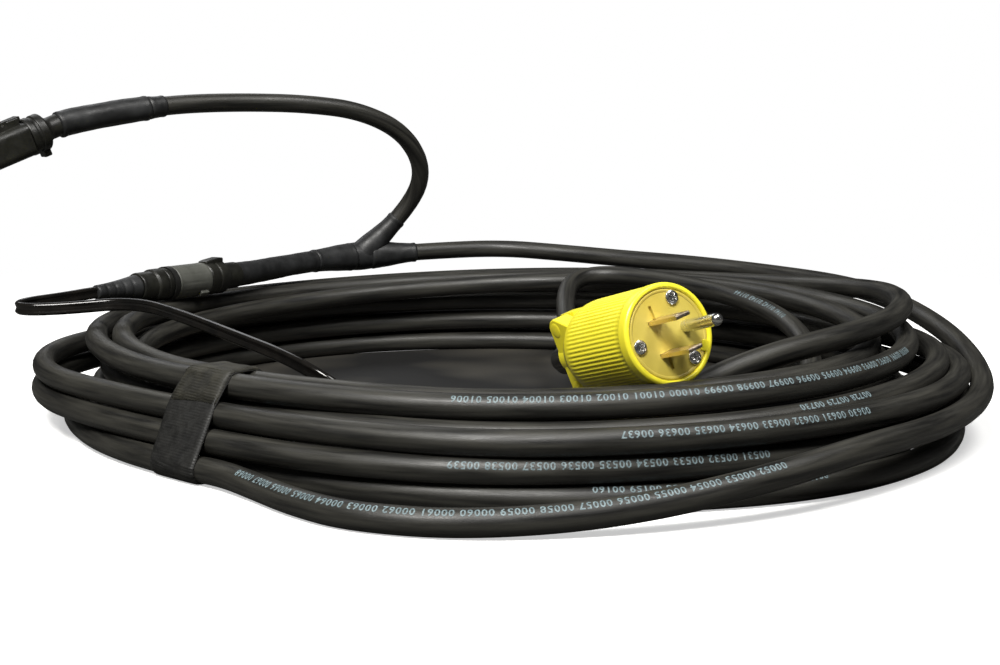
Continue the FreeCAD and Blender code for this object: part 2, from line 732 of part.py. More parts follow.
def save_connector_b():
    """Its X is straight up."""
    neck = rod(b_nose_radius, 0.0, b_neck_end)
    body = neck.fuse(rod(b_body_radius, b_neck_end, b_collar_start - 0.3))
    body = body.fuse(rod(b_nose_radius, b_collar_start - 0.3, b_nose_end))
    key = block(b_body_radius - 2.0, b_body_radius + b_key_height, -3.0, 3.0, b_neck_end + 0.5,
                b_collar_start - 1)
    body = body.fuse(key)
    body = body.cut(rod(sleeve_bore, -1, b_cord_stop + clearance)).cut(rod(4.5, b_cord_stop, 22.0))
    for x, y in contact_places_b:
        body = body.cut(rod(contact_radius + clearance, 21.0, b_nose_end + 1, x, y))
    save("body_b", put(body, b_place))
    collar = rod(b_collar_radius, b_collar_start, b_collar_end)
    lug = block(b_collar_radius - 1.0, b_collar_radius + b_lug_height, -b_lug_half_width, b_lug_half_width,
                b_collar_start + 2.5, b_collar_start + 8.0)
    lug.rotate(vector(0, 0, 0), vector(0, 0, 1), b_lug_angle)
    collar = collar.fuse(lug)
    collar = collar.cut(rod(b_nose_radius + running_clearance, b_collar_start - 1, b_collar_end + 1))
    save("collar_b", put(collar, b_place))
    report_axis("collar_b", b_place, vector(0, 0, (b_collar_start + b_collar_end) / 2), vector(0, 0, 1))
    seal = rod(b_mate_radius + 0.5, b_collar_end + 0.3, b_seal_end)
    seal = seal.cut(rod(b_nose_radius - 0.3, b_collar_end, b_seal_end + 1))
    save("seal_b", put(seal, b_place))
    mate = rod(b_nose_radius - 0.4, b_nose_end + clearance, b_seal_end + 0.2)
    mate = mate.fuse(rod(b_mate_radius, b_seal_end + clearance, b_mate_end))
    mate = mate.fuse(rod(b_step_radius, b_mate_end, b_step_end))
    for x, y in contact_places_b:
        mate = mate.cut(rod(contact_radius + clearance, b_nose_end, b_seal_end + 3, x, y))
    save("mate_body_b", put(mate, b_place))
    pins = [rod(contact_radius, 22.0, 54.0, x, y) for x, y in contact_places_b]
    save("contacts_b", put(Part.makeCompound(pins), b_place))
    boot = cone(b_boot_radii[0], b_boot_radii[1], b_step_end + clearance, b_boot_end)
    boot = boot.cut(rod(thin_cord_diameter / 2 + clearance, b_boot_bore_start, b_boot_end + 1))
    save("mate_boot_b", put(boot, b_place))
    points = [b_origin + b_way * (b_boot_bore_start + 0.5), b_origin + b_way * (b_boot_end + 4.0)]
    points += vectors(thin_points) + [vector(*thin_plug_start)]
    save("thin_cord", cord(points, thin_cord_diameter, "thin_cord"))


def save_thin_plug():
    """The small round plug that lies on the floor inside the coil, and its hollow barrel."""
    stand = place_of(vector(*thin_plug_start), thin_plug_axis, (0, 0, 1))
    barrel_root = thin_plug_length - barrel_root_length
    barrel_tip = thin_plug_length + barrel_reach
    root_radius = barrel_radius - root_step
    body = rod(thin_plug_radius, 0.0, thin_plug_length)
    body = body.cut(rod(root_radius + clearance, barrel_root - clearance, thin_plug_length + 1))
    save("thin_plug", put(body, stand))
    barrel = rod(barrel_radius, thin_plug_length, barrel_tip)
    barrel = barrel.fuse(rod(root_radius, barrel_root, thin_plug_length))
    barrel = barrel.cut(rod(barrel_bore, barrel_root + 2.0, barrel_tip + 1))
    save("thin_barrel", put(barrel, stand))
    report_axis("thin_barrel", stand, vector(0, 0, thin_plug_length), vector(0, 0, 1))


# Tape

def save_tape():
    """A band round the bundle, square to the strands, and its slanting tail on top."""
    tape = tape_place
    columns = turns_in_layer * tape["column"] * cord_diameter + 3 * tape["inward"]
    layers = 3 * tape["layer"] * cord_diameter
    half = cord_diameter / 2 + tape_room
    base = cord_diameter / 2 - flat_depth + tape["lift"]
    outer_edge = tape["radius"] + half
    inner_edge = tape["radius"] - columns - half
    low = base - half
    high = base + layers + half
    azimuth = math.radians(tape_azimuth)
    outward = (math.cos(azimuth), math.sin(azimuth), 0)
    onward = (math.sin(azimuth), -math.cos(azimuth), 0)
    stand = place_of(vector(0, 0, 0), onward, outward)
    inner = rounded(inner_edge, outer_edge, low, high, tape_corner)
    outer = rounded(inner_edge - tape_thickness, outer_edge + tape_thickness, low - tape_thickness,
                    high + tape_thickness, tape_corner + tape_thickness)
    band = put(outer.cut(inner), stand)
    save("tape_band", band)
    print("tape from z %.2f to %.2f" % (low - tape_thickness, high + tape_thickness))
    tail_way = (vector(*onward) * -1 - vector(*outward)).normalize()
    tail = block(-tail_length / 2, tail_length / 2, -tape_width / 2, tape_width / 2, 0, tape_thickness)
    middle = vector(*outward) * (outer_edge - 14.0) + tail_way * 13.0
    middle.z = high + tape_thickness + 0.05
    save("tape_tail", put(tail, place_of(middle, (0, 0, 1), tuple(tail_way))))


def rounded(x0, x1, z0, z1, corner):
    """A box with rounded corners as long as the tape is wide, in axes whose Z runs along the cords."""
    box = Part.makeBox(x1 - x0, z1 - z0, tape_width, vector(x0, 0, -tape_width / 2))
    box.translate(vector(0, z0, 0))
    return box.makeFillet(corner, [edge for edge in box.Edges if edge.BoundBox.ZLength > tape_width - 1])


def save_coil():
    wire = coil_wire()
    first_place, first_way = strand(0.0)
    start = first_place - first_way * end_straight
    turns_tube = tube(wire, start, first_way, cord_diameter / 2, "cord_coil")
    print("cord_coil          length %7.1f mm" % wire.Length)
    print("least gap of the coil to itself %.2f mm" % least_gap(wire, cord_diameter))
    span = 3 * tape_place["radius"]
    under = Part.makeBox(span, span, span / 2, vector(-span / 2, -span / 2, -span / 2))
    save("cord_coil", turns_tube.cut(under))


os.makedirs(parts_folder, exist_ok=True)
save_coil()
save_plug()
first_place, first_way = strand(0.0)
last_place, last_way = strand(turns)
save_lead(last_place, last_way)
save_split(first_place, first_way)
save_connector_a()
save_connector_b()
save_thin_plug()
save_tape()

whole = None
for box in saved.values():
    whole = FreeCAD.BoundBox(box) if whole is None else whole.united(box)
print("box X %.1f to %.1f, Y %.1f to %.1f, Z %.1f to %.1f, %d nodes" % (
    whole.XMin, whole.XMax, whole.YMin, whole.YMax, whole.ZMin, whole.ZMax, len(saved)))
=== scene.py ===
import bmesh
import bpy
import math
import numpy as np
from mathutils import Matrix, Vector


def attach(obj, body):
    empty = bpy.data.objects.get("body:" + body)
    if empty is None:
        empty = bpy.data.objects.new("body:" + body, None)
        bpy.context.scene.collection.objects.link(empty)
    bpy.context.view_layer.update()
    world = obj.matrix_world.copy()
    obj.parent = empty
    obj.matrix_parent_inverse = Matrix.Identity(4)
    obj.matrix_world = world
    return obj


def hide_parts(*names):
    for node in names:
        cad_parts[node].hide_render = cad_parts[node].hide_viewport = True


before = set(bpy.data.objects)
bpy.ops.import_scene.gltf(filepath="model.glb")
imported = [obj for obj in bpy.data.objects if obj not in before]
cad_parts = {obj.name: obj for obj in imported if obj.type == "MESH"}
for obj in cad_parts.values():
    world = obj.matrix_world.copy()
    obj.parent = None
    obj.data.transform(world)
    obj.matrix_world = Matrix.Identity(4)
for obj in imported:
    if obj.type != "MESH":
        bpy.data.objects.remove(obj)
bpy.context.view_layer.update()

# Places on the routes are metres from the coil's centre, which stands here in the part's frame
coilCentre = np.array([0.0243, 0.0078, 0.0])


# Mesh helpers

def makeObject(name, vertices, faces, smooth=True):
    mesh = bpy.data.meshes.new(name)
    mesh.from_pydata(vertices.tolist(), [], faces)
    mesh.polygons.foreach_set("use_smooth", [smooth] * len(mesh.polygons))
    mesh.update()
    piece = bpy.data.objects.new(name, mesh)
    bpy.context.scene.collection.objects.link(piece)
    return piece


def gridPiece(name, grid, closed=True, caps=True, uv=None, ring=False):
    # grid is rows by columns of points; each row is joined to the next, and a closed row to its own start;
    # a ring also joins its last row to its first, and caps close the two ends with a fan;
    # uv gives each row's length along the piece
    rows, columns = grid.shape[:2]
    vertices = grid.reshape(-1, 3)
    row = np.arange(rows if ring else rows - 1)[:, None] * columns
    column = np.arange(columns if closed else columns - 1)[None, :]
    beside = (column + 1) % columns
    after = (row + columns) % (rows * columns)
    faces = np.stack([row + column, row + beside, after + beside, after + column], -1)
    faces = faces.reshape(-1, 4).tolist()
    if caps:
        ends = np.stack([grid[0].mean(0), grid[-1].mean(0)])
        first = len(vertices)
        vertices = np.vstack([vertices, ends])
        last = (rows - 1) * columns
        around = np.arange(columns if closed else columns - 1)
        after = (around + 1) % columns
        faces += np.stack([after, around, np.full(len(around), first)], -1).tolist()
        faces += np.stack([last + around, last + after, np.full(len(around), first + 1)], -1).tolist()
    piece = makeObject(name, vertices, faces)
    if uv is not None:
        layer = piece.data.uv_layers.new(name="along")
        strips = columns if closed else columns - 1
        r = np.repeat(np.arange(rows - 1), strips)
        c = np.tile(np.arange(strips), rows - 1)
        corners = np.stack([np.stack([c, r], -1), np.stack([c + 1, r], -1),
                            np.stack([c + 1, r + 1], -1), np.stack([c, r + 1], -1)], 1).reshape(-1, 2)
        across = corners[:, 0] / strips
        along = np.asarray(uv)[corners[:, 1]]
        values = np.zeros((len(piece.data.loops), 2))
        values[:len(corners)] = np.stack([across, along], -1)
        layer.data.foreach_set("uv", values.ravel())
    return piece


def unit(v):
    return v / np.linalg.norm(v, axis=-1, keepdims=True)


def framesAlong(path):
    # tangent by differences, then one side square to it and nearest to up, and the other square to both
    up = np.array([0.0, 0.0, 1.0])
    tangent = unit(np.gradient(path, axis=0))
    top = unit(up - tangent * (tangent @ up)[:, None])
    return top, np.cross(tangent, top)


def lengthAlong(path):
    return np.concatenate([[0], np.cumsum(np.linalg.norm(np.diff(path, axis=0), axis=1))])


def tubeGrid(path, radius, sides):
    # a circle of the given radius at each point of the path, square to it, that starts underneath
    top, side = framesAlong(path)
    angle = np.arange(sides) / sides * 2 * math.pi + math.pi
    radius = np.broadcast_to(np.asarray(radius, float), (len(path),))
    ring = np.cos(angle)[None, :, None] * top[:, None] + np.sin(angle)[None, :, None] * side[:, None]
    return path[:, None] + ring * radius[:, None, None]


def splinePath(name, points, steps=16):
    # the smooth line that a third-order NURBS spline draws near the route, read back as points
    curve = bpy.data.curves.new(name, "CURVE")
    curve.dimensions = "3D"
    curve.resolution_u = steps
    spline = curve.splines.new("NURBS")
    spline.points.add(len(points) - 1)
    spline.points.foreach_set("co", np.hstack([points, np.ones((len(points), 1))]).ravel())
    spline.order_u = 3
    spline.use_endpoint_u = True
    holder = bpy.data.objects.new(name, curve)
    bpy.context.scene.collection.objects.link(holder)
    mesh = bpy.data.meshes.new_from_object(holder)
    found = np.zeros(len(mesh.vertices) * 3)
    mesh.vertices.foreach_get("co", found)
    bpy.data.objects.remove(holder)
    return found.reshape(-1, 3)


def axesOf(origin, axis, across):
    # rows are the piece's own X, Y and Z in the part's frame
    third = unit(np.asarray(axis, float))
    first = np.asarray(across, float) - third * np.dot(across, third)
    first = unit(first)
    return np.asarray(origin, float), np.stack([first, np.cross(third, first), third])


def place(points, stand):
    origin, axes = stand
    return np.asarray(points) @ axes + origin


def smoothStep(x):
    x = np.clip(x, 0, 1)
    return x * x * (3 - 2 * x)


def softened(profile, reach, parts=5):
    # each inner corner gives way to a curve that leaves and joins its two sides at most reach from it
    points = np.asarray(profile, float)
    line = [points[:1]]
    t = np.linspace(0, 1, parts)[:, None]
    for before, corner, after in zip(points, points[1:], points[2:]):
        back, on = before - corner, after - corner
        near = min(reach, 0.45 * np.linalg.norm(back), 0.45 * np.linalg.norm(on))
        start, end = corner + unit(back) * near, corner + unit(on) * near
        line.append((1 - t) ** 2 * start + 2 * t * (1 - t) * corner + t * t * end)
    return np.vstack(line + [points[-1:]])


def turnedPiece(name, profile, stand, columns=64, reach=0.0006, extra=None, parts=5):
    # pairs of radius and height swung round the piece's own axis; extra adds to the radius at each point
    line = softened(profile, reach, parts)
    angle = np.arange(columns)[None, :] / columns * 2 * math.pi
    radius = line[:, :1] + 0 * angle
    height = line[:, 1:] + 0 * angle
    if extra is not None:
        radius = radius + extra(angle, height)
    grid = np.stack([radius * np.cos(angle), radius * np.sin(angle), height], -1)
    return gridPiece(name, place(grid, stand))


def prismPiece(name, outline, low, high, stand, bevel=0.0007):
    # an outline in the stand's first two axes, drawn out along the third, with its edges rounded
    outline = np.asarray(outline, float)
    count = len(outline)
    ends = [np.hstack([outline, np.full((count, 1), level)]) for level in (low, high)]
    around = np.arange(count)
    beside = (around + 1) % count
    faces = np.stack([around, beside, beside + count, around + count], -1).tolist()
    faces += [list(range(count - 1, -1, -1)), list(range(count, 2 * count))]
    piece = makeObject(name, place(np.vstack(ends), stand), faces)
    edge = piece.modifiers.new("edge", "BEVEL")
    edge.width = bevel
    edge.segments = 3
    edge.limit_method = "ANGLE"
    edge.harden_normals = True
    return piece


def boxOutline(left, right, low, high, corner=0.0, parts=5):
    # a rectangle whose corners are quarter circles, anticlockwise
    if corner == 0:
        return np.array([(left, low), (right, low), (right, high), (left, high)])
    turn = np.linspace(0, math.pi / 2, parts)
    spots = [(right - corner, high - corner), (left + corner, high - corner), (left + corner, low + corner),
             (right - corner, low + corner)]
    arcs = []
    for k, (x, y) in enumerate(spots):
        angle = turn + k * math.pi / 2
        arcs.append(np.stack([x + corner * np.cos(angle), y + corner * np.sin(angle)], -1))
    return np.vstack(arcs)


def arcOutline(middle, radius, start, end, parts=9):
    # points round a circle from one angle to another, in degrees
    angle = np.radians(np.linspace(start, end, parts))
    return np.stack([middle[0] + radius * np.cos(angle), middle[1] + radius * np.sin(angle)], -1)


def partOfPath(path, start, end, step):
    # the stretch of a path between two lengths along it, at even steps
    along = lengthAlong(path)
    wanted = np.linspace(start, end, max(4, int((end - start) / step) + 1))
    return np.stack([np.interp(wanted, along, path[:, axis]) for axis in range(3)], -1), wanted


# Materials

def newMaterial(name, colour, roughness, **sockets):
    material = bpy.data.materials.new(name)
    material.use_nodes = True
    shader = material.node_tree.nodes["Principled BSDF"]
    shader.inputs["Base Color"].default_value = (*colour, 1)
    shader.inputs["Roughness"].default_value = roughness
    for socket, value in sockets.items():
        shader.inputs[socket.replace("_", " ")].default_value = value
    return material, material.node_tree.nodes, material.node_tree.links, shader


def addNoise(nodes, links, scale, detail=3.0, stretch=(1, 1, 1), source="Object", roughness=0.55):
    spot = nodes.new("ShaderNodeTexCoord")
    mapping = nodes.new("ShaderNodeMapping")
    mapping.inputs["Scale"].default_value = stretch
    noise = nodes.new("ShaderNodeTexNoise")
    noise.inputs["Scale"].default_value = scale
    noise.inputs["Detail"].default_value = detail
    noise.inputs["Roughness"].default_value = roughness
    links.new(spot.outputs[source], mapping.inputs["Vector"])
    links.new(mapping.outputs["Vector"], noise.inputs["Vector"])
    return noise.outputs["Fac"]


def addRamp(nodes, links, value, stops):
    ramp = nodes.new("ShaderNodeValToRGB")
    links.new(value, ramp.inputs["Fac"])
    while len(ramp.color_ramp.elements) < len(stops):
        ramp.color_ramp.elements.new(0.5)
    for element, (position, colour) in zip(ramp.color_ramp.elements, stops):
        element.position = position
        element.color = (*colour, 1)
    return ramp.outputs["Color"]


def addBump(nodes, links, shader, height, strength, distance):
    bump = nodes.new("ShaderNodeBump")
    bump.inputs["Strength"].default_value = strength
    bump.inputs["Distance"].default_value = distance
    links.new(height, bump.inputs["Height"])
    links.new(bump.outputs["Normal"], shader.inputs["Normal"])


mottleFacts = dict(darkTo=0.35, paleFrom=0.68, wander=2.3, smoothTo=0.3, roughFrom=0.7, strength=0.5)


def mottled(name, dark, pale, roughness, scale, bumpScale, bumpDepth, stretch=(1, 1, 1), source="Object",
            spread=0.12, **sockets):
    # two close colours mixed by noise, a roughness that wanders by its own noise, and a fine bump
    material, nodes, links, shader = newMaterial(name, dark, roughness, **sockets)
    fac = addNoise(nodes, links, scale, 4.0, stretch, source)
    stops = [(mottleFacts["darkTo"], dark), (mottleFacts["paleFrom"], pale)]
    links.new(addRamp(nodes, links, fac, stops), shader.inputs["Base Color"])
    low, high = (max(0.0, roughness - spread),) * 3, (min(1.0, roughness + spread),) * 3
    wander = addNoise(nodes, links, scale * mottleFacts["wander"], 3.0, stretch, source)
    stops = [(mottleFacts["smoothTo"], low), (mottleFacts["roughFrom"], high)]
    links.new(addRamp(nodes, links, wander, stops), shader.inputs["Roughness"])
    grain = addNoise(nodes, links, bumpScale, 2.0, stretch, source)
    addBump(nodes, links, shader, grain, mottleFacts["strength"], bumpDepth)
    return material


cordRubber = mottled("cordRubber", dark=(0.007, 0.0068, 0.0060), pale=(0.042, 0.0405, 0.034), roughness=0.44,
                     scale=1.0, bumpScale=30.0, bumpDepth=0.00008, stretch=(11, 20, 1), source="UV")
bootRubber = mottled("bootRubber", dark=(0.009, 0.0093, 0.0097), pale=(0.024, 0.025, 0.026), roughness=0.5,
                     scale=90.0, bumpScale=1300.0, bumpDepth=0.00008)
thinVinyl = mottled("thinVinyl", dark=(0.004, 0.0038, 0.0035), pale=(0.011, 0.0095, 0.008), roughness=0.16,
                    scale=80.0, bumpScale=900.0, bumpDepth=0.00002, spread=0.04)
plugYellow = mottled("plugYellow", dark=(0.94, 0.82, 0.035), pale=(0.96, 0.87, 0.05), roughness=0.33,
                     scale=45.0, bumpScale=500.0, bumpDepth=0.00002, spread=0.05)
faceMustard = mottled("faceMustard", dark=(0.60, 0.47, 0.075), pale=(0.66, 0.54, 0.11), roughness=0.4,
                      scale=70.0, bumpScale=700.0, bumpDepth=0.00002)
carrierPlastic = mottled("carrierPlastic", dark=(0.012, 0.012, 0.012), pale=(0.02, 0.02, 0.02), roughness=0.5,
                         scale=90.0, bumpScale=1000.0, bumpDepth=0.00003)
contactBrass = mottled("contactBrass", dark=(0.80, 0.64, 0.46), pale=(0.86, 0.72, 0.55), roughness=0.3,
                       scale=160.0, bumpScale=900.0, bumpDepth=0.000001, spread=0.05, Metallic=1.0)
platedSteel = mottled("platedSteel", dark=(0.66, 0.66, 0.64), pale=(0.76, 0.76, 0.74), roughness=0.24,
                      scale=220.0, bumpScale=900.0, bumpDepth=0.000001, spread=0.05, Metallic=1.0)
wireBlack = mottled("wireBlack", dark=(0.006, 0.006, 0.006), pale=(0.012, 0.012, 0.012), roughness=0.35,
                    scale=80.0, bumpScale=900.0, bumpDepth=0.00002)
wireWhite = mottled("wireWhite", dark=(0.7, 0.7, 0.66), pale=(0.78, 0.78, 0.74), roughness=0.35,
                    scale=80.0, bumpScale=900.0, bumpDepth=0.00002)
wireGreen = mottled("wireGreen", dark=(0.012, 0.16, 0.03), pale=(0.02, 0.2, 0.045), roughness=0.35,
                    scale=80.0, bumpScale=900.0, bumpDepth=0.00002)
connectorBlack = mottled("connectorBlack", dark=(0.007, 0.007, 0.006), pale=(0.016, 0.016, 0.012),
                         roughness=0.42, scale=110.0, bumpScale=1500.0, bumpDepth=0.00006)
collarGrey = mottled("collarGrey", dark=(0.070, 0.072, 0.062), pale=(0.098, 0.100, 0.088), roughness=0.5,
                     scale=110.0, bumpScale=1200.0, bumpDepth=0.00004)
sealRubber = mottled("sealRubber", dark=(0.005, 0.005, 0.005), pale=(0.010, 0.010, 0.009), roughness=0.5,
                     scale=90.0, bumpScale=1300.0, bumpDepth=0.00003)
tapeCloth = mottled("tapeCloth", dark=(0.0045, 0.0045, 0.0042), pale=(0.013, 0.0128, 0.0115), roughness=0.6,
                    scale=150.0, bumpScale=1100.0, bumpDepth=0.00006)
tailCloth = mottled("tailCloth", dark=(0.010, 0.0095, 0.0065), pale=(0.030, 0.028, 0.019), roughness=0.62,
                    scale=150.0, bumpScale=1100.0, bumpDepth=0.00006)
legendInk = mottled("legendInk", dark=(0.09, 0.13, 0.145), pale=(0.23, 0.30, 0.32), roughness=0.55,
                    scale=900.0, bumpScale=3000.0, bumpDepth=0.00001)


weaveFacts = dict(scale=330.0, distortion=1.2, detail=2.0, strength=0.8)


def addWeave(material, depth):
    # fine threads one way and across, as two waves, pressed into the surface on top of the grain
    nodes, links = material.node_tree.nodes, material.node_tree.links
    shader = nodes["Principled BSDF"]
    grain = shader.inputs["Normal"].links[0].from_socket
    spot = nodes.new("ShaderNodeTexCoord")
    heights = []
    for direction in ("DIAGONAL", "Z"):
        wave = nodes.new("ShaderNodeTexWave")
        wave.bands_direction = direction
        wave.inputs["Scale"].default_value = weaveFacts["scale"]
        wave.inputs["Distortion"].default_value = weaveFacts["distortion"]
        wave.inputs["Detail"].default_value = weaveFacts["detail"]
        links.new(spot.outputs["Object"], wave.inputs["Vector"])
        heights.append(wave.outputs["Fac"])
    both = nodes.new("ShaderNodeMath")
    both.operation = "MAXIMUM"
    links.new(heights[0], both.inputs[0])
    links.new(heights[1], both.inputs[1])
    bump = nodes.new("ShaderNodeBump")
    bump.inputs["Strength"].default_value = weaveFacts["strength"]
    bump.inputs["Distance"].default_value = depth
    links.new(both.outputs[0], bump.inputs["Height"])
    links.new(grain, bump.inputs["Normal"])
    links.new(bump.outputs["Normal"], shader.inputs["Normal"])


addWeave(tapeCloth, depth=0.00006)
addWeave(tailCloth, depth=0.00012)
print("materials made")


def finishPiece(piece, material, slotName, *nodeNames, body="cord"):
    # the piece takes its finish and the body it rides on, and stands in for the nodes that are named
    if nodeNames:
        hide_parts(*nodeNames)
    piece.data.materials.clear()
    piece.data.materials.append(material)
    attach(piece, body)
    return piece


# The cords: routes in metres from the coil's centre

cordFacts = dict(diameter=0.010, sides=20)
coilFacts = dict(turns=10.5, perLayer=2.75, perTurn=20, reverse=0.5, tapeAzimuth=231.5)
# four places clockwise from the tape: radius, lean of a strand in degrees, spacing of columns, spacing of
# layers, how far each layer steps inwards, and lift
coilPlaces = np.array([
    (0.1895, 1.0, 0.0108, 0.0099, 0.0, 0.0004),
    (0.2140, 2.0, 0.0116, 0.0108, 0.0025, 0.0),
    (0.2120, -4.0, 0.0122, 0.0130, 0.0040, 0.0),
    (0.2160, 6.5, 0.0116, 0.0110, 0.0040, 0.0)])
# where loose turns leave the even winding: turns from the start, half width in turns, outward and upward
looseness = [
    (0.13, 0.11, -0.003, 0.0), (0.72, 0.20, 0.006, 0.0), (0.92, 0.09, 0.005, 0.0),
    (1.15, 0.13, -0.003, 0.0), (2.15, 0.13, -0.0025, 0.0),
    (3.89, 0.10, 0.003, -0.0007), (4.66, 0.12, 0.018, -0.0012), (4.92, 0.09, 0.005, -0.0006),
    (5.13, 0.11, 0.018, 0.0), (5.68, 0.15, 0.010, 0.0), (5.90, 0.09, 0.004, -0.0011),
    (6.0, 0.13, -0.0045, -0.0004), (6.13, 0.11, 0.022, 0.0), (6.68, 0.15, 0.013, 0.005),
    (6.89, 0.09, 0.001, -0.0012), (7.0, 0.13, -0.0045, -0.0009), (7.88, 0.09, 0.0, -0.0018),
    (8.0, 0.13, -0.0045, -0.0009), (8.88, 0.11, -0.008, -0.0030), (9.0, 0.13, -0.0056, -0.0005),
    (9.14, 0.10, -0.002, 0.0026), (9.66, 0.15, 0.005, 0.0005), (9.90, 0.11, -0.0075, -0.0028),
    (10.0, 0.13, -0.0056, 0.0), (10.13, 0.10, -0.001, 0.002)]

# where the plug, the split and the two connectors stand, with the cord's straight run and hidden end at each
plugFacts = dict(face=(0.0625, -0.158, 0.0576), axis=(0.461, -0.854, 0.240), across=(0.368, -0.062, -0.928),
                 length=0.070, straight=0.014, cordStop=0.046)
splitPlace = np.array([-0.083, 0.197, 0.054])
splitFacts = dict(lyingStart=0.006, archStart=0.0165)
connectorA = dict(start=(-0.222, 0.070, 0.1325), axis=(-0.70, -0.62, -0.35), inside=0.008)
connectorB = dict(start=(-0.1425, 0.110, 0.0518), axis=(-0.538, -0.843, 0.0), straight=0.012, inside=0.010)

leadPoints = [
    (0.166, 0.096, 0.0475), (0.182, 0.056, 0.0505), (0.187, 0.018, 0.0525), (0.183, -0.026, 0.0525),
    (0.166, -0.069, 0.051), (0.140, -0.105, 0.0495), (0.107, -0.128, 0.0455), (0.082, -0.138, 0.038),
    (0.056, -0.143, 0.025), (0.022, -0.148, 0.013), (-0.018, -0.146, 0.006), (-0.056, -0.132, 0.005),
    (-0.086, -0.105, 0.005), (-0.097, -0.068, 0.005), (-0.086, -0.033, 0.005), (-0.054, -0.013, 0.005),
    (-0.016, -0.020, 0.005), (0.015, -0.047, 0.005), (0.045, -0.077, 0.005), (0.083, -0.088, 0.005),
    (0.118, -0.070, 0.007), (0.140, -0.035, 0.016), (0.148, 0.008, 0.027), (0.143, 0.052, 0.036),
    (0.124, 0.094, 0.042), (0.095, 0.126, 0.046), (0.070, 0.146, 0.048), (0.051, 0.151, 0.0475),
    (0.039, 0.139, 0.0445), (0.035, 0.114, 0.038), (0.035, 0.084, 0.030), (0.034, 0.050, 0.024),
    (0.030, 0.005, 0.020), (0.030, -0.052, 0.030)]
outerPoints = [
    (-0.043, 0.210, 0.0558), (0.0, 0.2162, 0.0572), (0.037, 0.2075, 0.055), (0.071, 0.192, 0.0531),
    (0.110, 0.1717, 0.0517), (0.149, 0.146, 0.0493), (0.186, 0.106, 0.047), (0.205, 0.062, 0.042),
    (0.2150, 0.007, 0.0335), (0.2135, -0.043, 0.0245), (0.200, -0.089, 0.0205), (0.171, -0.137, 0.019),
    (0.129, -0.183, 0.020), (0.089, -0.210, 0.0145), (0.040, -0.226, 0.0075), (-0.010, -0.232, 0.005),
    (-0.050, -0.221, 0.005), (-0.072, -0.200, 0.005), (-0.0867, -0.180, 0.005), (-0.103, -0.161, 0.0058)]
archPoints = [
    (-0.056, 0.204, 0.080), (-0.044, 0.195, 0.103), (-0.054, 0.180, 0.126), (-0.078, 0.165, 0.139),
    (-0.108, 0.151, 0.1430), (-0.140, 0.137, 0.1437), (-0.168, 0.116, 0.1428), (-0.190, 0.097, 0.1398),
    (-0.212, 0.078, 0.1352)]
sidePoints = [(-0.101, 0.181, 0.0537), (-0.122, 0.152, 0.0524)]
thinPoints = [
    (-0.206, 0.010, 0.0512), (-0.222, -0.010, 0.0505), (-0.219, -0.023, 0.0496), (-0.200, -0.022, 0.0498),
    (-0.167, -0.016, 0.0522), (-0.138, -0.050, 0.050), (-0.106, -0.092, 0.046), (-0.085, -0.116, 0.0425),
    (-0.068, -0.130, 0.036), (-0.055, -0.127, 0.025), (-0.0495, -0.110, 0.0135), (-0.046, -0.090, 0.005),
    (-0.0435, -0.070, 0.005)]


def between(values, phase, slopes=None):
    # each place's value, eased to the next; with slopes, the cubic that also leaves and arrives along them
    here = np.floor(phase).astype(int) % len(values)
    there = (here + 1) % len(values)
    f = phase - np.floor(phase)
    ease = smoothStep(f)
    if slopes is None:
        return values[here] * (1 - ease) + values[there] * ease
    leave = f ** 3 - 2 * f ** 2 + f
    arrive = f ** 3 - f ** 2
    return values[here] * (1 - ease) + values[there] * ease + leave * slopes[here] + arrive * slopes[there]


def coilPoints():
    # strands spiral in and out again, one column a turn, and rise a layer in the half turn where they reverse
    count = int(coilFacts["turns"] * coilFacts["perTurn"]) + 1
    turn = np.arange(count) / coilFacts["perTurn"]
    phase = turn * len(coilPlaces) % len(coilPlaces)
    radius, lean, column, layer, inward, lift = coilPlaces.T
    slope = radius * np.tan(np.radians(lean)) * math.pi / 2
    per, reverse = coilFacts["perLayer"], coilFacts["reverse"]
    layersDone = np.floor(turn / per + 1e-9)
    into = turn - layersDone * per
    across = np.where(layersDone % 2 == 0, into, per - into)
    climbs = range(1, int(coilFacts["turns"] / per) + 1)
    height = sum(smoothStep((turn - per * k + reverse / 2) / reverse) for k in climbs)
    out = between(radius, phase, slope) - across * between(column, phase) - height * between(inward, phase)
    rise = cordFacts["diameter"] / 2 + between(lift, phase) + height * between(layer, phase)
    for middle, half, outward, upward in looseness:
        bell = smoothStep(1 - np.abs(turn - middle) / half)
        out = out + bell * outward
        rise = rise + bell * upward
    # the spline cuts the corners between its control points, so they stand a little further out
    out = out / math.cos(math.pi / coilFacts["perTurn"]) ** 0.5
    azimuth = np.radians(coilFacts["tapeAzimuth"] - 360 * turn)
    return np.stack([out * np.cos(azimuth), out * np.sin(azimuth), rise], -1)


def makeCord(name, path, grid, material, slotName, *nodeNames):
    along = lengthAlong(path)
    cord = gridPiece(name, grid, uv=along)
    finishPiece(cord, material, slotName, *nodeNames)
    print(name, "%.3f m" % along[-1], len(cord.data.polygons), "faces")
    return cord, along[-1]


def roundCord(name, path, *nodeNames):
    grid = tubeGrid(path, cordFacts["diameter"] / 2, cordFacts["sides"])
    return makeCord(name, path, grid, cordRubber, "cord_rubber", *nodeNames)


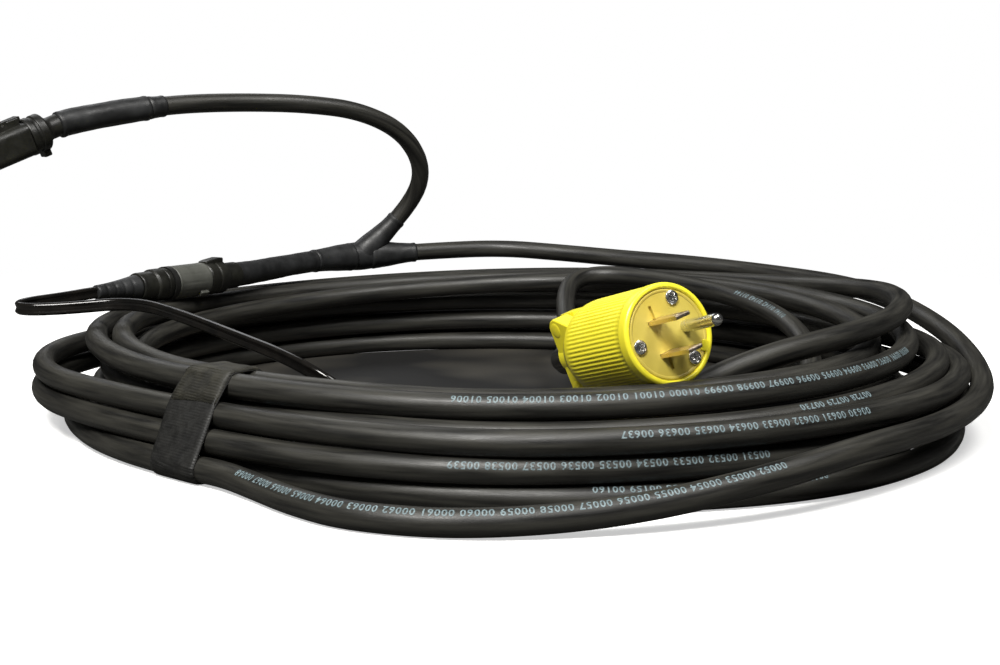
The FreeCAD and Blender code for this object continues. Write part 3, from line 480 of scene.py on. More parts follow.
plugWay = unit(np.array(plugFacts["axis"]))
plugFace = np.array(plugFacts["face"])
splitWay = unit(np.array(outerPoints[0]) - splitPlace)
mainRoute = np.vstack([
    splitPlace + splitWay * splitFacts["lyingStart"], outerPoints, coilPoints(), leadPoints,
    plugFace - plugWay * (plugFacts["length"] + plugFacts["straight"]),
    plugFace - plugWay * plugFacts["cordStop"]]) + coilCentre
mainPath = splinePath("mainRoute", mainRoute)
mainCord, mainLength = roundCord("mainCord", mainPath, "plug_lead", "cord_coil", "outer_turn")

aWay = unit(np.array(connectorA["axis"]))
aStart = np.array(connectorA["start"])
archWay = unit(np.array(archPoints[0]) - splitPlace)
archRoute = np.vstack([
    splitPlace + archWay * splitFacts["archStart"], archPoints, aStart,
    aStart + aWay * connectorA["inside"]]) + coilCentre
archPath = splinePath("archRoute", archRoute)
archCord, archLength = roundCord("archCord", archPath, "branch_arch")

bWay = unit(np.array(connectorB["axis"]))
bStart = np.array(connectorB["start"])
sideWay = unit(np.array(sidePoints[0]) - splitPlace)
sideRoute = np.vstack([
    splitPlace + sideWay * splitFacts["lyingStart"], sidePoints, bStart - bWay * connectorB["straight"],
    bStart + bWay * connectorB["inside"]]) + coilCentre
sidePath = splinePath("sideRoute", sideRoute)
sideCord, sideLength = roundCord("sideCord", sidePath, "branch_side")

thinFacts = dict(width=0.0058, height=0.0034, startAt=0.0885, leavesAt=0.1035, sides=40, sharpness=7,
                 groove=0.42, grooveWidth=0.16)
thinRoute = np.vstack([
    bStart + bWay * thinFacts["startAt"], bStart + bWay * thinFacts["leavesAt"], thinPoints]) + coilCentre
thinPath = splinePath("thinRoute", thinRoute)


def twinGrid(path):
    # the section is two circles side by side: their support in each direction, with a groove where they meet
    top, side = framesAlong(path)
    angle = np.arange(thinFacts["sides"]) / thinFacts["sides"] * 2 * math.pi
    half = thinFacts["height"] / 2
    offset = (thinFacts["width"] - thinFacts["height"]) / 2
    lean = np.tanh(np.cos(angle) * thinFacts["sharpness"]) * offset
    groove = 1 - thinFacts["groove"] * np.exp(-(np.cos(angle) / thinFacts["grooveWidth"]) ** 2)
    x = np.cos(angle) * half + lean
    y = np.sin(angle) * half * groove
    return path[:, None] + x[None, :, None] * top[:, None] + y[None, :, None] * side[:, None]


thinGrid = twinGrid(thinPath)
thinCord, thinLength = makeCord("thinCord", thinPath, thinGrid, thinVinyl, "thin_vinyl", "thin_cord")

# Sleeves shrunk over the cords, and the moulded boot where the three cords meet

sleeveFacts = dict(step=0.0008, sides=48, edge=0.0008, drop=0.0009, lip=0.00022, lipAt=0.0018,
                   lipWidth=0.0009, wrinkle=0.00006, wrinkleFade=0.003, armBelow=0.002, armRows=60)
# the arch's own path starts above the split, so its arm begins from a point under the middle of the boot
armStart = splitPlace + coilCentre - archWay * sleeveFacts["armBelow"]
archArm = np.vstack([armStart, archPath[:sleeveFacts["armRows"]]])
# path, start and end along it, radius at the start and at the end, node
sleevePlaces = dict(
    sleeveA=(archPath, archLength - 0.0575, archLength - 0.0060, 0.0064, 0.0066, "sleeve_a"),
    sleeveACuff=(archPath, archLength - 0.0675, archLength - 0.0570, 0.0055, 0.0059, "sleeve_a"),
    sleeveB=(sidePath, 0.0285, sideLength - 0.0085, 0.0060, 0.0064, "sleeve_b"),
    splitArmOuter=(mainPath, 0.0, 0.0285, 0.0080, 0.0056, "split_boot"),
    splitArmSide=(sidePath, 0.0, 0.0300, 0.0080, 0.0064, "split_boot"),
    splitArmArch=(archArm, 0.0, 0.0340, 0.0080, 0.0054, "split_boot"))


def makeSleeve(name, path, start, end, radiusFirst, radiusLast, nodeName):
    # the radius eases from one end to the other, drops at both ends and wanders as shrunk rubber does
    stretch, along = partOfPath(path, start, end, sleeveFacts["step"])
    f = (along - start) / (end - start)
    radius = radiusFirst + (radiusLast - radiusFirst) * smoothStep(f)
    fromEnd = np.minimum(along - start, end - along)
    radius = radius - sleeveFacts["drop"] * np.clip(1 - fromEnd / sleeveFacts["edge"], 0, 1) ** 2
    lip = np.exp(-((fromEnd - sleeveFacts["lipAt"]) / sleeveFacts["lipWidth"]) ** 2)
    radius = radius + sleeveFacts["lip"] * lip
    grid = tubeGrid(stretch, 1.0, sleeveFacts["sides"])
    spoke = grid - stretch[:, None]
    angle = np.arange(sleeveFacts["sides"])[None, :] / sleeveFacts["sides"] * 2 * math.pi
    s = along[:, None] * 1000  # millimetres along the path
    wave = np.sin(s * 0.45 + 2 * np.sin(angle + s * 0.11)) * np.sin(3 * angle + s * 0.23)
    wave = wave + 1.1 * np.sin(s * 0.21 + 2 * angle)
    calm = np.clip(fromEnd[:, None] / sleeveFacts["wrinkleFade"], 0, 1)
    radius = radius[:, None] + sleeveFacts["wrinkle"] * wave * calm
    sleeve = gridPiece(name, stretch[:, None] + spoke * radius[..., None], uv=along)
    finishPiece(sleeve, bootRubber, "boot_rubber", nodeName)


for sleeveName, sleevePlace in sleevePlaces.items():
    makeSleeve(sleeveName, *sleevePlace)


def makeKnuckle():
    # the thick middle of the split boot: a ball drawn out along the line between the two lying cords
    stand = axesOf(splitPlace + coilCentre, splitWay - sideWay, (0, 0, 1))
    profile = [(0.0003, -0.013), (0.0052, -0.0125), (0.0079, -0.008), (0.0085, 0.0), (0.0079, 0.008),
               (0.0052, 0.0125), (0.0003, 0.013)]
    knuckle = turnedPiece("splitKnuckle", profile, stand, 40, 0.004)
    finishPiece(knuckle, bootRubber, "boot_rubber", "split_boot")


makeKnuckle()
print("sleeves and split boot made")

# Cloth tape: a band drawn round the strands that pass through it

tapeFacts = dict(azimuth=230.4, width=0.0265, hold=0.00065, thickness=0.0006, sharpness=2600.0, columns=150,
                 rows=19, innermost=0.12, lap=0.0003, lapShift=0.49, crease=0.00016, fold=0.00025,
                 foldWidth=0.08, edgeDrop=0.0002, edgeShift=0.46, aboveFloor=0.0001)


def strandsAt(azimuth):
    # where the wound cord crosses the upright plane through the coil's middle at this azimuth
    path = mainPath - coilCentre
    across = path[:, 0] * math.sin(azimuth) - path[:, 1] * math.cos(azimuth)
    out = path[:, 0] * math.cos(azimuth) + path[:, 1] * math.sin(azimuth)
    before = np.nonzero((across[:-1] * across[1:] <= 0) & (out[:-1] > tapeFacts["innermost"]))[0]
    f = (across[before] / (across[before] - across[before + 1]))[:, None]
    spots = path[before] * (1 - f) + path[before + 1] * f
    return np.stack([np.hypot(spots[:, 0], spots[:, 1]), spots[:, 2]], -1)


def makeTape():
    # each point of the band is the strand furthest out in its direction, softly chosen, plus the cord's
    # radius, with the lap of the last turn, creases and folds added to that
    angle = np.arange(tapeFacts["columns"]) / tapeFacts["columns"] * 2 * math.pi
    direction = np.stack([np.cos(angle), np.sin(angle)], -1)
    middle = math.radians(tapeFacts["azimuth"])
    rows = []
    for shift in np.linspace(-0.5, 0.5, tapeFacts["rows"]):
        azimuth = middle + shift * tapeFacts["width"] / coilPlaces[0, 0]
        spots = strandsAt(azimuth)
        reach = spots @ direction.T
        weight = np.exp((reach - reach.max(0)) * tapeFacts["sharpness"])
        centre = (weight / weight.sum(0)).T @ spots
        lap = smoothStep((np.sin(angle + 0.35) + 0.1) / 0.25) * (abs(shift) < tapeFacts["lapShift"])
        crease = np.sin(angle * 9 + shift * 5) * np.sin(angle * 23 + shift * 9 + 1.0) * tapeFacts["crease"]
        fold = tapeFacts["fold"] * np.exp(-(np.sin(angle * 2 + shift * 1.4) / tapeFacts["foldWidth"]) ** 2)
        radius = cordFacts["diameter"] / 2 + tapeFacts["hold"] + tapeFacts["lap"] * lap + crease + fold
        radius = radius - tapeFacts["edgeDrop"] * (abs(shift) > tapeFacts["edgeShift"])
        rows.append((azimuth, centre, radius))
    outer = []
    inner = []
    for azimuth, centre, radius in rows:
        for depth, rings in ((0.0, outer), (tapeFacts["thickness"], inner)):
            spot = centre + direction * (radius - depth)[:, None]
            out, height = spot[:, 0], np.maximum(spot[:, 1], tapeFacts["aboveFloor"])
            rings.append(np.stack([out * math.cos(azimuth), out * math.sin(azimuth), height], -1))
    grid = np.stack(outer + inner[::-1]) + coilCentre
    band = gridPiece("tapeBand", grid, caps=False, ring=True)
    finishPiece(band, tapeCloth, "tape_cloth", "tape_band")
    return np.stack(outer) + coilCentre


tapeOuter = makeTape()
tailFacts = dict(rows=26, columns=14, turnFrom=0.09, turnSpan=0.21, skew=0.01, lift=0.0002, rise=0.0004,
                 ripple=0.00012, thickness=0.0004)


def makeTapeTail():
    # the strip's free end crosses the band's top, turned towards the front, and follows the band's surface:
    # each of its points is found between four points of the band's outer grid
    rows, columns = tailFacts["rows"], tailFacts["columns"]
    across, along = np.meshgrid(np.linspace(0, 1, columns), np.linspace(0, 1, rows))
    top = (across * 0.98 + 0.01) * (tapeFacts["rows"] - 1)
    turnAt = tailFacts["turnFrom"] + tailFacts["turnSpan"] * along + tailFacts["skew"] * across
    turnAt = turnAt * tapeFacts["columns"]
    row = np.floor(top).astype(int)
    column = np.floor(turnAt).astype(int) % tapeFacts["columns"]
    f = (top - row)[..., None]
    g = (turnAt - np.floor(turnAt))[..., None]
    nextRow = np.minimum(row + 1, tapeFacts["rows"] - 1)
    nextColumn = (column + 1) % tapeFacts["columns"]
    lower = tapeOuter[row, column] * (1 - g) + tapeOuter[row, nextColumn] * g
    upper = tapeOuter[nextRow, column] * (1 - g) + tapeOuter[nextRow, nextColumn] * g
    surface = lower * (1 - f) + upper * f
    lift = unit(surface - tapeOuter.mean((0, 1)))
    edge = np.minimum(np.minimum(across, 1 - across) * 8, np.minimum(along, 1 - along) * 10)
    rise = tailFacts["lift"] + tailFacts["rise"] * smoothStep(edge)
    rise = rise + tailFacts["ripple"] * np.sin(along * 37 + across * 5)
    tail = gridPiece("tapeTail", surface + lift * rise[..., None], closed=False, caps=False)
    thick = tail.modifiers.new("thickness", "SOLIDIFY")
    thick.thickness = tailFacts["thickness"]
    thick.offset = -1
    finishPiece(tail, tailCloth, "tape_cloth", "tape_tail")


makeTapeTail()
print("tape made")

# Length marks printed along the cord: plain numbers that count up

legendFacts = dict(size=0.0041, weight=0.018, capHeight=0.72, lift=0.00003, slices=7, spacing=1.12,
                   pitch=0.0125)
# each run: the turn it starts at, how many marks, and its lean from the top in degrees, negative outwards
legendRuns = [
    (9.724, 17, -45), (6.957, 2, -66), (6.77, 3, -36), (5.782, 8, -52), (4.817, 9, -58), (3.962, 2, -70),
    (3.77, 5, -45), (0.80, 7, -35), (-0.36, 17, -35), (11.69, 4, -35)]


def legendText(first, count):
    return " ".join("%05d" % number for number in range(first, first + count))


def flatText(body):
    # the built-in font's outlines as a mesh, sliced across so that it can follow the round cord
    curve = bpy.data.curves.new("legend", "FONT")
    curve.body = body
    curve.size = legendFacts["size"]
    curve.space_character = legendFacts["spacing"]
    curve.offset = legendFacts["size"] * legendFacts["weight"]
    curve.resolution_u = 2
    holder = bpy.data.objects.new("legend", curve)
    bpy.context.scene.collection.objects.link(holder)
    mesh = bpy.data.meshes.new_from_object(holder)
    bpy.data.objects.remove(holder)
    shape = bmesh.new()
    shape.from_mesh(mesh)
    for cut in range(1, legendFacts["slices"]):
        height = cut / legendFacts["slices"] * legendFacts["size"] * legendFacts["capHeight"]
        everything = shape.verts[:] + shape.edges[:] + shape.faces[:]
        bmesh.ops.bisect_plane(shape, geom=everything, plane_co=(0, height, 0), plane_no=(0, 1, 0))
    shape.to_mesh(mesh)
    shape.free()
    spots = np.zeros(len(mesh.vertices) * 3)
    mesh.vertices.foreach_get("co", spots)
    faces = [list(face.vertices) for face in mesh.polygons]
    return spots.reshape(-1, 3), faces


def alongCoil(turn):
    # how far along the main cord so many turns are: the spline passes a control point half a span before it
    point = 1 + len(outerPoints) + turn * coilFacts["perTurn"]
    share = (point - 0.5) / (len(mainRoute) - 2)
    return np.interp(share, np.linspace(0, 1, len(mainPath)), lengthAlong(mainPath))


def makeLegend(name, start, first, count, lean):
    # x of the flat text becomes length along the cord and y becomes angle round it
    spots, faces = flatText(legendText(first, count))
    along = lengthAlong(mainPath)
    top, side = framesAlong(mainPath)
    x, y = spots[:, 0], spots[:, 1] - legendFacts["size"] * legendFacts["capHeight"] / 2
    reach = start + x
    radius = cordFacts["diameter"] / 2
    angle = math.radians(lean) - y / radius
    middle, up, across = (np.stack([np.interp(reach, along, line[:, axis]) for axis in range(3)], -1)
                          for line in (mainPath, top, side))
    outward = np.cos(angle)[:, None] * unit(up) + np.sin(angle)[:, None] * unit(across)
    legend = makeObject(name, middle + outward * (radius + legendFacts["lift"]), faces)
    finishPiece(legend, legendInk, "wire_white")


for runNumber, (turn, count, lean) in enumerate(legendRuns, 1):
    runStart = alongCoil(turn)
    firstMark = int(runStart / legendFacts["pitch"])
    makeLegend("lengthMarks%02d" % runNumber, runStart, firstMark, count, lean)
print("length marks printed")

# The plug, in its own axes: Z out of the face, X towards the lower ear, Y towards the ground pin

plugStand = axesOf(np.array(plugFacts["face"]) + coilCentre, plugFacts["axis"], plugFacts["across"])
shellFacts = dict(ribbedRadius=0.0189, ribs=72, ribHeight=0.00028, ribStart=-0.0438, ribEnd=-0.0056,
                  ribRows=14, columns=576, square=2.2, fadeIn=0.0012, fadeOut=0.0008)
# the cord clamp behind the barrel: two round ears and the shoulders between them, a knob on each, a saddle
clampFacts = dict(ear=(0.0124, -0.0635), earRadius=0.0046, shoulder=(0.0125, -0.0545), shoulderRadius=0.0008,
                  low=0.0002, high=0.0078, bevel=0.0012, saddleOuter=0.0084, saddleInner=0.0051,
                  saddleStart=-0.0688, saddleEnd=-0.0555)
keyFacts = dict(start=0.0148, end=0.0178, halfWidth=0.0022, low=-0.0009, high=-0.0001, turn=54)
# pairs of radius and height from the back of the barrel to the face
shellProfile = [
    (0.0003, -0.0585), (0.0110, -0.0580), (0.0132, -0.0562), (0.0163, -0.0503), (0.0184, -0.0462),
    (0.0188, -0.0440), (0.0189, -0.0300), (0.0189, -0.0150), (0.0189, -0.0058), (0.01905, -0.0053),
    (0.0194, -0.0048), (0.0194, -0.0008), (0.0187, -0.0001), (0.0178, 0.0), (0.01735, -0.0003),
    (0.01715, -0.0009), (0.01715, -0.0030), (0.0003, -0.0032)]
knobProfile = [(0.0003, -0.0082), (0.0030, -0.0080), (0.0043, -0.0068), (0.0046, -0.0040), (0.0046, -0.0002),
               (0.0003, -0.0002)]


def ribs(angle, height):
    # rounded square wave round the barrel, fading in and out at the two ends of the ribbed length
    square = shellFacts["square"]
    wave = 0.5 + 0.5 * np.tanh(square * np.sin(shellFacts["ribs"] * angle)) / math.tanh(square)
    inside = smoothStep((height - shellFacts["ribStart"]) / shellFacts["fadeIn"])
    inside = inside * smoothStep((shellFacts["ribEnd"] - height) / shellFacts["fadeOut"])
    return wave * inside * shellFacts["ribHeight"]


def turnedStand(stand, degrees):
    # the same stand turned about its own Z
    origin, axes = stand
    c, s = math.cos(math.radians(degrees)), math.sin(math.radians(degrees))
    return origin, np.stack([axes[0] * c + axes[1] * s, axes[1] * c - axes[0] * s, axes[2]])


def finishShell(piece):
    return finishPiece(piece, plugYellow, "plug_yellow", "plug_shell")


def makeBarrel():
    # the softened profile with even rows put in along the ribbed length, so that the ribs' ends have a slope
    low, high, count = shellFacts["ribStart"], shellFacts["ribEnd"], shellFacts["ribRows"]
    fine = softened(shellProfile, 0.0003, 3)
    keep = (fine[:, 1] < low) | (fine[:, 1] > high)
    edge = int(np.argmax(~keep))
    straight = np.stack([np.full(count, shellFacts["ribbedRadius"]), np.linspace(low, high, count)], -1)
    line = np.vstack([fine[:edge], straight, fine[edge:][keep[edge:]]])
    return finishShell(turnedPiece("plugBarrel", line, plugStand, shellFacts["columns"], 0.00001, ribs, 2))


def makeClamp():
    # one flat outline for both ears, then a knob on each ear and a half ring that holds the cord
    origin, axes = plugStand
    lying = (origin, np.stack([axes[0], axes[2], -axes[1]]))
    ear, height = clampFacts["ear"]
    shoulder, shoulderHeight = clampFacts["shoulder"]
    radius, knee = clampFacts["earRadius"], clampFacts["shoulderRadius"]
    outline = np.vstack([
        arcOutline((ear, height), radius, -90, 20),
        arcOutline((shoulder, shoulderHeight), knee, 10, 90, 4),
        arcOutline((-shoulder, shoulderHeight), knee, 90, 170, 4),
        arcOutline((-ear, height), radius, 160, 270)])
    low, high = clampFacts["low"], clampFacts["high"]
    finishShell(prismPiece("plugYoke", outline, low, high, lying, clampFacts["bevel"]))
    for name, side in (("plugKnobLeft", -1), ("plugKnobRight", 1)):
        knob = (place([(side * ear, 0.0, height)], plugStand)[0], np.stack([axes[2], axes[0], axes[1]]))
        finishShell(turnedPiece(name, knobProfile, knob, 36, 0.0012))
    turn = np.linspace(math.pi, 2 * math.pi, 25)
    arc = np.stack([np.cos(turn), np.sin(turn)], -1)
    arch = np.vstack([clampFacts["saddleOuter"] * arc, clampFacts["saddleInner"] * arc[::-1]])
    start, end = clampFacts["saddleStart"], clampFacts["saddleEnd"]
    finishShell(prismPiece("plugSaddle", arch, start, end, plugStand, 0.0006))


def makeKey():
    # the small key block in the face's rim
    half = keyFacts["halfWidth"]
    outline = boxOutline(keyFacts["start"], keyFacts["end"], -half, half, 0.0005)
    stand = turnedStand(plugStand, keyFacts["turn"])
    finishShell(prismPiece("plugKey", outline, keyFacts["low"], keyFacts["high"], stand, 0.0003))


def makePlugFace():
    # the rounded lip that stands round the edge of the face plate
    profile = [(0.0166, -0.0030), (0.01695, -0.0026), (0.01695, -0.00085), (0.0166, -0.00055),
               (0.0160, -0.00062), (0.0156, -0.00088), (0.0156, -0.0030)]
    finishPiece(turnedPiece("faceLip", profile, plugStand, 96, 0.0003), faceMustard, "face_mustard")


# three heads on one circle; the cross's arm and reach and their slopes are shares of a head's radius
screwFacts = dict(circle=0.0139, seat=-0.0009, radius=0.0027, height=0.0013, dome=0.45, domePower=2.4,
                  crossDepth=0.0009, arm=0.20, armSlope=0.07, reach=0.66, reachSlope=0.12, rings=34,
                  columns=128, firstTurn=20, nextTurn=35)


def makeScrewHead(name, stand):
    # a low dome with a cross pressed into it: rings of points whose height falls inside the cross
    radius = screwFacts["radius"]
    share = np.linspace(0.004, 1, screwFacts["rings"])[:, None]
    angle = np.arange(screwFacts["columns"])[None, :] / screwFacts["columns"] * 2 * math.pi
    x, y = share * np.cos(angle), share * np.sin(angle)
    arm = np.minimum(np.abs(x), np.abs(y))
    reach = np.maximum(np.abs(x), np.abs(y))
    cross = smoothStep((screwFacts["arm"] - arm) / screwFacts["armSlope"])
    cross = cross * smoothStep((screwFacts["reach"] - reach) / screwFacts["reachSlope"])
    dome = 1 - screwFacts["dome"] * share ** screwFacts["domePower"]
    rise = screwFacts["height"] * dome - screwFacts["crossDepth"] * cross
    cap = np.stack([x * radius, y * radius, rise], -1)[::-1]
    skirt = np.stack([np.cos(angle) * radius, np.sin(angle) * radius, 0 * angle], -1)
    head = gridPiece(name, place(np.vstack([skirt, cap]), stand))
    finishPiece(head, platedSteel, "plated_steel", "face_screws")


def makeScrews():
    circle = screwFacts["circle"]
    spots = [(0.0, -circle)]
    spots += [(side * circle * math.sin(math.radians(60)), circle / 2) for side in (-1, 1)]
    for count, (x, y) in enumerate(spots):
        middle = place([(x, y, screwFacts["seat"])], plugStand)[0]
        turn = screwFacts["firstTurn"] + screwFacts["nextTurn"] * count
        makeScrewHead("faceScrew%d" % (count + 1), turnedStand((middle, plugStand[1]), turn))


plugBarrel = makeBarrel()
makeClamp()
makeKey()
makePlugFace()
makeScrews()
print("plug made")

# Connector A: X towards the latch

standA = axesOf(aStart + coilCentre, connectorA["axis"], (0, 0, 1))
# pairs of radius and height: the neck that the sleeve grips, then a flange with a groove round it
neckProfile = [
    (0.0003, -0.002), (0.0054, -0.0019), (0.0057, -0.001), (0.0057, 0.0068), (0.0062, 0.0085),
    (0.0090, 0.0103), (0.0096, 0.0110), (0.0096, 0.0145), (0.0090, 0.0150), (0.0090, 0.0162),
    (0.0096, 0.0167), (0.0096, 0.0192), (0.0092, 0.0200), (0.0003, 0.0200)]
# the lug under the flange, on the side away from the latch: low and high are along X
flangeLugFacts = dict(low=-0.0122, high=-0.0070, half=0.0030, corner=0.0006, start=0.0110, end=0.0150)
# the two rails beside the latch and the rib between them: sizes along X, Y and Z
latchFacts = dict(railLow=0.0076, railHigh=0.0116, railInner=0.0038, railOuter=0.0050, railStart=0.0222,
                  railEnd=0.0545, ribLow=0.0078, ribHigh=0.0094, ribHalf=0.0045, ribStart=0.0500,
                  ribEnd=0.0520)


def finishBlack(piece, *nodeNames):
    return finishPiece(piece, connectorBlack, "connector_black", *nodeNames)


def makeConnectorA():
    shell = finishBlack(turnedPiece("connectorAShell", neckProfile, standA, 64, 0.0005), "shell_a")
    facts = flangeLugFacts
    outline = boxOutline(facts["low"], facts["high"], -facts["half"], facts["half"], facts["corner"])
    finishBlack(prismPiece("connectorALug", outline, facts["start"], facts["end"], standA), "shell_a")
    facts = latchFacts
    for name, low, high in (("latchRailLeft", -facts["railOuter"], -facts["railInner"]),
                            ("latchRailRight", facts["railInner"], facts["railOuter"])):
        outline = boxOutline(facts["railLow"], facts["railHigh"], low, high)
        finishBlack(prismPiece(name, outline, facts["railStart"], facts["railEnd"], standA, 0.0004))
    outline = boxOutline(facts["ribLow"], facts["ribHigh"], -facts["ribHalf"], facts["ribHalf"])
    finishBlack(prismPiece("latchRib", outline, facts["ribStart"], facts["ribEnd"], standA, 0.0003))
    return shell


shellOfA = makeConnectorA()

# Connector B: X straight up

standB = axesOf(bStart + coilCentre, connectorB["axis"], (0, 0, 1))
# pairs of radius and height along each turned piece
bodyProfile = [
    (0.0003, 0.0), (0.0066, 0.0002), (0.0070, 0.0010), (0.0070, 0.0108), (0.0078, 0.0116),
    (0.0086, 0.0122), (0.0086, 0.0180), (0.0082, 0.0186), (0.0082, 0.0196), (0.0086, 0.0202),
    (0.0086, 0.0250), (0.0080, 0.0257), (0.0070, 0.0258), (0.0070, 0.0440), (0.0003, 0.0440)]
collarProfile = [
    (0.00712, 0.0260), (0.0083, 0.0260), (0.0087, 0.0264), (0.0087, 0.0280), (0.0086, 0.0285),
    (0.0086, 0.0380), (0.0086, 0.0478), (0.0087, 0.0483), (0.0087, 0.0491), (0.0083, 0.0495),
    (0.00712, 0.0495), (0.00712, 0.0380)]
mateProfile = [
    (0.0003, 0.0500), (0.0066, 0.0500), (0.0066, 0.0531), (0.0078, 0.0532), (0.0082, 0.0537),
    (0.0082, 0.0560), (0.0079, 0.0563), (0.0079, 0.0571), (0.0082, 0.0574), (0.0082, 0.0625),
    (0.0078, 0.0632), (0.0072, 0.0635), (0.0072, 0.0720), (0.0069, 0.0728), (0.0003, 0.0728)]
# the key on the body, by height and distance from the axis, and half its width
keyHalf = 0.0030
keyOutline = [
    (0.0120, 0.0070), (0.0250, 0.0070), (0.0250, 0.0090), (0.0225, 0.0097), (0.0150, 0.0106),
    (0.0120, 0.0104)]
collarFacts = dict(columns=96, outside=0.0080, grooves=12, grooveDepth=0.00022, grooveWidth=0.22,
                   gripStart=0.0285, gripEnd=0.0478, fade=0.001, lugLow=0.0080, lugHigh=0.0102,
                   lugHalf=0.0016, lugCorner=0.0004, lugTurn=225, lugStart=0.0285, lugEnd=0.0340)
bootFacts = dict(thick=0.0063, thickAt=0.0734, thin=0.0036, taperStart=0.0742, taperEnd=0.0985, power=1.5,
                 rows=50, firstSlot=0.0735, slotPitch=0.0052, slotWidth=0.5, slotDepth=0.0003,
                 slotsStart=0.0745, slotsEnd=0.0965, fade=0.001)


def grip(angle, height):
    # shallow finger grooves along the collar's middle
    inside = smoothStep((height - collarFacts["gripStart"]) / collarFacts["fade"])
    inside = inside * smoothStep((collarFacts["gripEnd"] - height) / collarFacts["fade"])
    groove = np.exp(-(np.sin(angle * collarFacts["grooves"] / 2) / collarFacts["grooveWidth"]) ** 2)
    return -collarFacts["grooveDepth"] * inside * groove


def slots(angle, height):
    # rings of short slots that let the boot bend, left out on its top and bottom
    wave = np.sin((height - bootFacts["firstSlot"]) * math.pi / bootFacts["slotPitch"])
    ring = np.exp(-(wave / bootFacts["slotWidth"]) ** 2)
    ring = ring * smoothStep((height - bootFacts["slotsStart"]) / bootFacts["fade"])
    ring = ring * smoothStep((bootFacts["slotsEnd"] - height) / bootFacts["fade"])
    return -bootFacts["slotDepth"] * ring * smoothStep((np.abs(np.sin(angle)) - 0.25) / 0.15)


def makeBodyB():
    shell = finishBlack(turnedPiece("connectorBBody", bodyProfile, standB, 64, 0.0005), "body_b")
    origin, axes = standB
    upright = (origin, np.stack([axes[2], axes[0], axes[1]]))
    finishBlack(prismPiece("connectorBKey", keyOutline, -keyHalf, keyHalf, upright, 0.0006), "body_b")
    return shell


def makeCollar():
    # a closed loop of a profile swung round the axis, with the grooves only on its outside
    rows = softened(collarProfile, 0.0003, 4)
    angle = np.arange(collarFacts["columns"])[None, :] / collarFacts["columns"] * 2 * math.pi
    height = rows[:, 1:] + 0 * angle
    outside = (rows[:, :1] > collarFacts["outside"]) * 1.0
    radius = rows[:, :1] + grip(angle, height) * outside
    grid = np.stack([radius * np.cos(angle), radius * np.sin(angle), height], -1)
    collar = gridPiece("couplingCollar", place(grid, standB), caps=False, ring=True)
    finishPiece(collar, collarGrey, "collar_grey", "collar_b", body="collar")
    half = collarFacts["lugHalf"]
    outline = boxOutline(collarFacts["lugLow"], collarFacts["lugHigh"], -half, half, collarFacts["lugCorner"])
    stand = turnedStand(standB, collarFacts["lugTurn"])
    lug = prismPiece("collarLug", outline, collarFacts["lugStart"], collarFacts["lugEnd"], stand, 0.0005)
    finishPiece(lug, collarGrey, "collar_grey", "collar_b", body="collar")


def makeMate():
    # the other half's body, and its boot, which thins by a power curve towards the thin cord
    finishBlack(turnedPiece("mateBody", mateProfile, standB, 64, 0.0004), "mate_body_b")
    thick, thin = bootFacts["thick"], bootFacts["thin"]
    start, end = bootFacts["thickAt"], bootFacts["taperEnd"]
    height = np.linspace(bootFacts["taperStart"], end, bootFacts["rows"])
    radius = thin + (thick - thin) * ((end - height) / (end - start)) ** bootFacts["power"]
    profile = [(0.0003, 0.0730), (0.0060, 0.0730), (thick, start)]
    profile += list(zip(radius, height))
    profile += [(0.0034, 0.0992), (0.0031, 0.0995), (0.0003, 0.0995)]
    boot = turnedPiece("mateBoot", profile, standB, 60, 0.0001, slots, 2)
    finishPiece(boot, bootRubber, "boot_rubber", "mate_boot_b")


shellOfB = makeBodyB()
makeCollar()
makeMate()
print("connectors made")

# The rest of the nodes keep their solid shape and take their finish here

nodeFinishes = [
    (plugYellow, ["cord_clamp_bar"]),
    (faceMustard, ["plug_face"]),
    (carrierPlastic, ["contact_carrier"]),
    (contactBrass, ["blade_hot", "blade_neutral", "contacts_a", "contacts_b"]),
    (platedSteel, ["ground_pin", "terminal_screws", "clamp_screws", "latch_pin_a", "thin_barrel"]),
    (wireBlack, ["conductor_black"]),
    (wireWhite, ["conductor_white"]),
    (wireGreen, ["conductor_green"]),
    (connectorBlack, ["body_a", "latch_a", "thin_plug"]),
    (sealRubber, ["seal_a", "seal_b"])]
for material, nodeNames in nodeFinishes:
    for nodeName in nodeNames:
        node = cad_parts[nodeName]
        node.data.materials.clear()
        node.data.materials.append(material)
print("solid nodes finished")

print("cords made")

# Floor, lights and camera

floorFacts = dict(size=8.0, colour=(0.93, 0.93, 0.92), roughness=0.9, bounce=(0.10, 0.10, 0.095), glow=0.52,
                  clearFrom=0.34, clearTo=0.75)


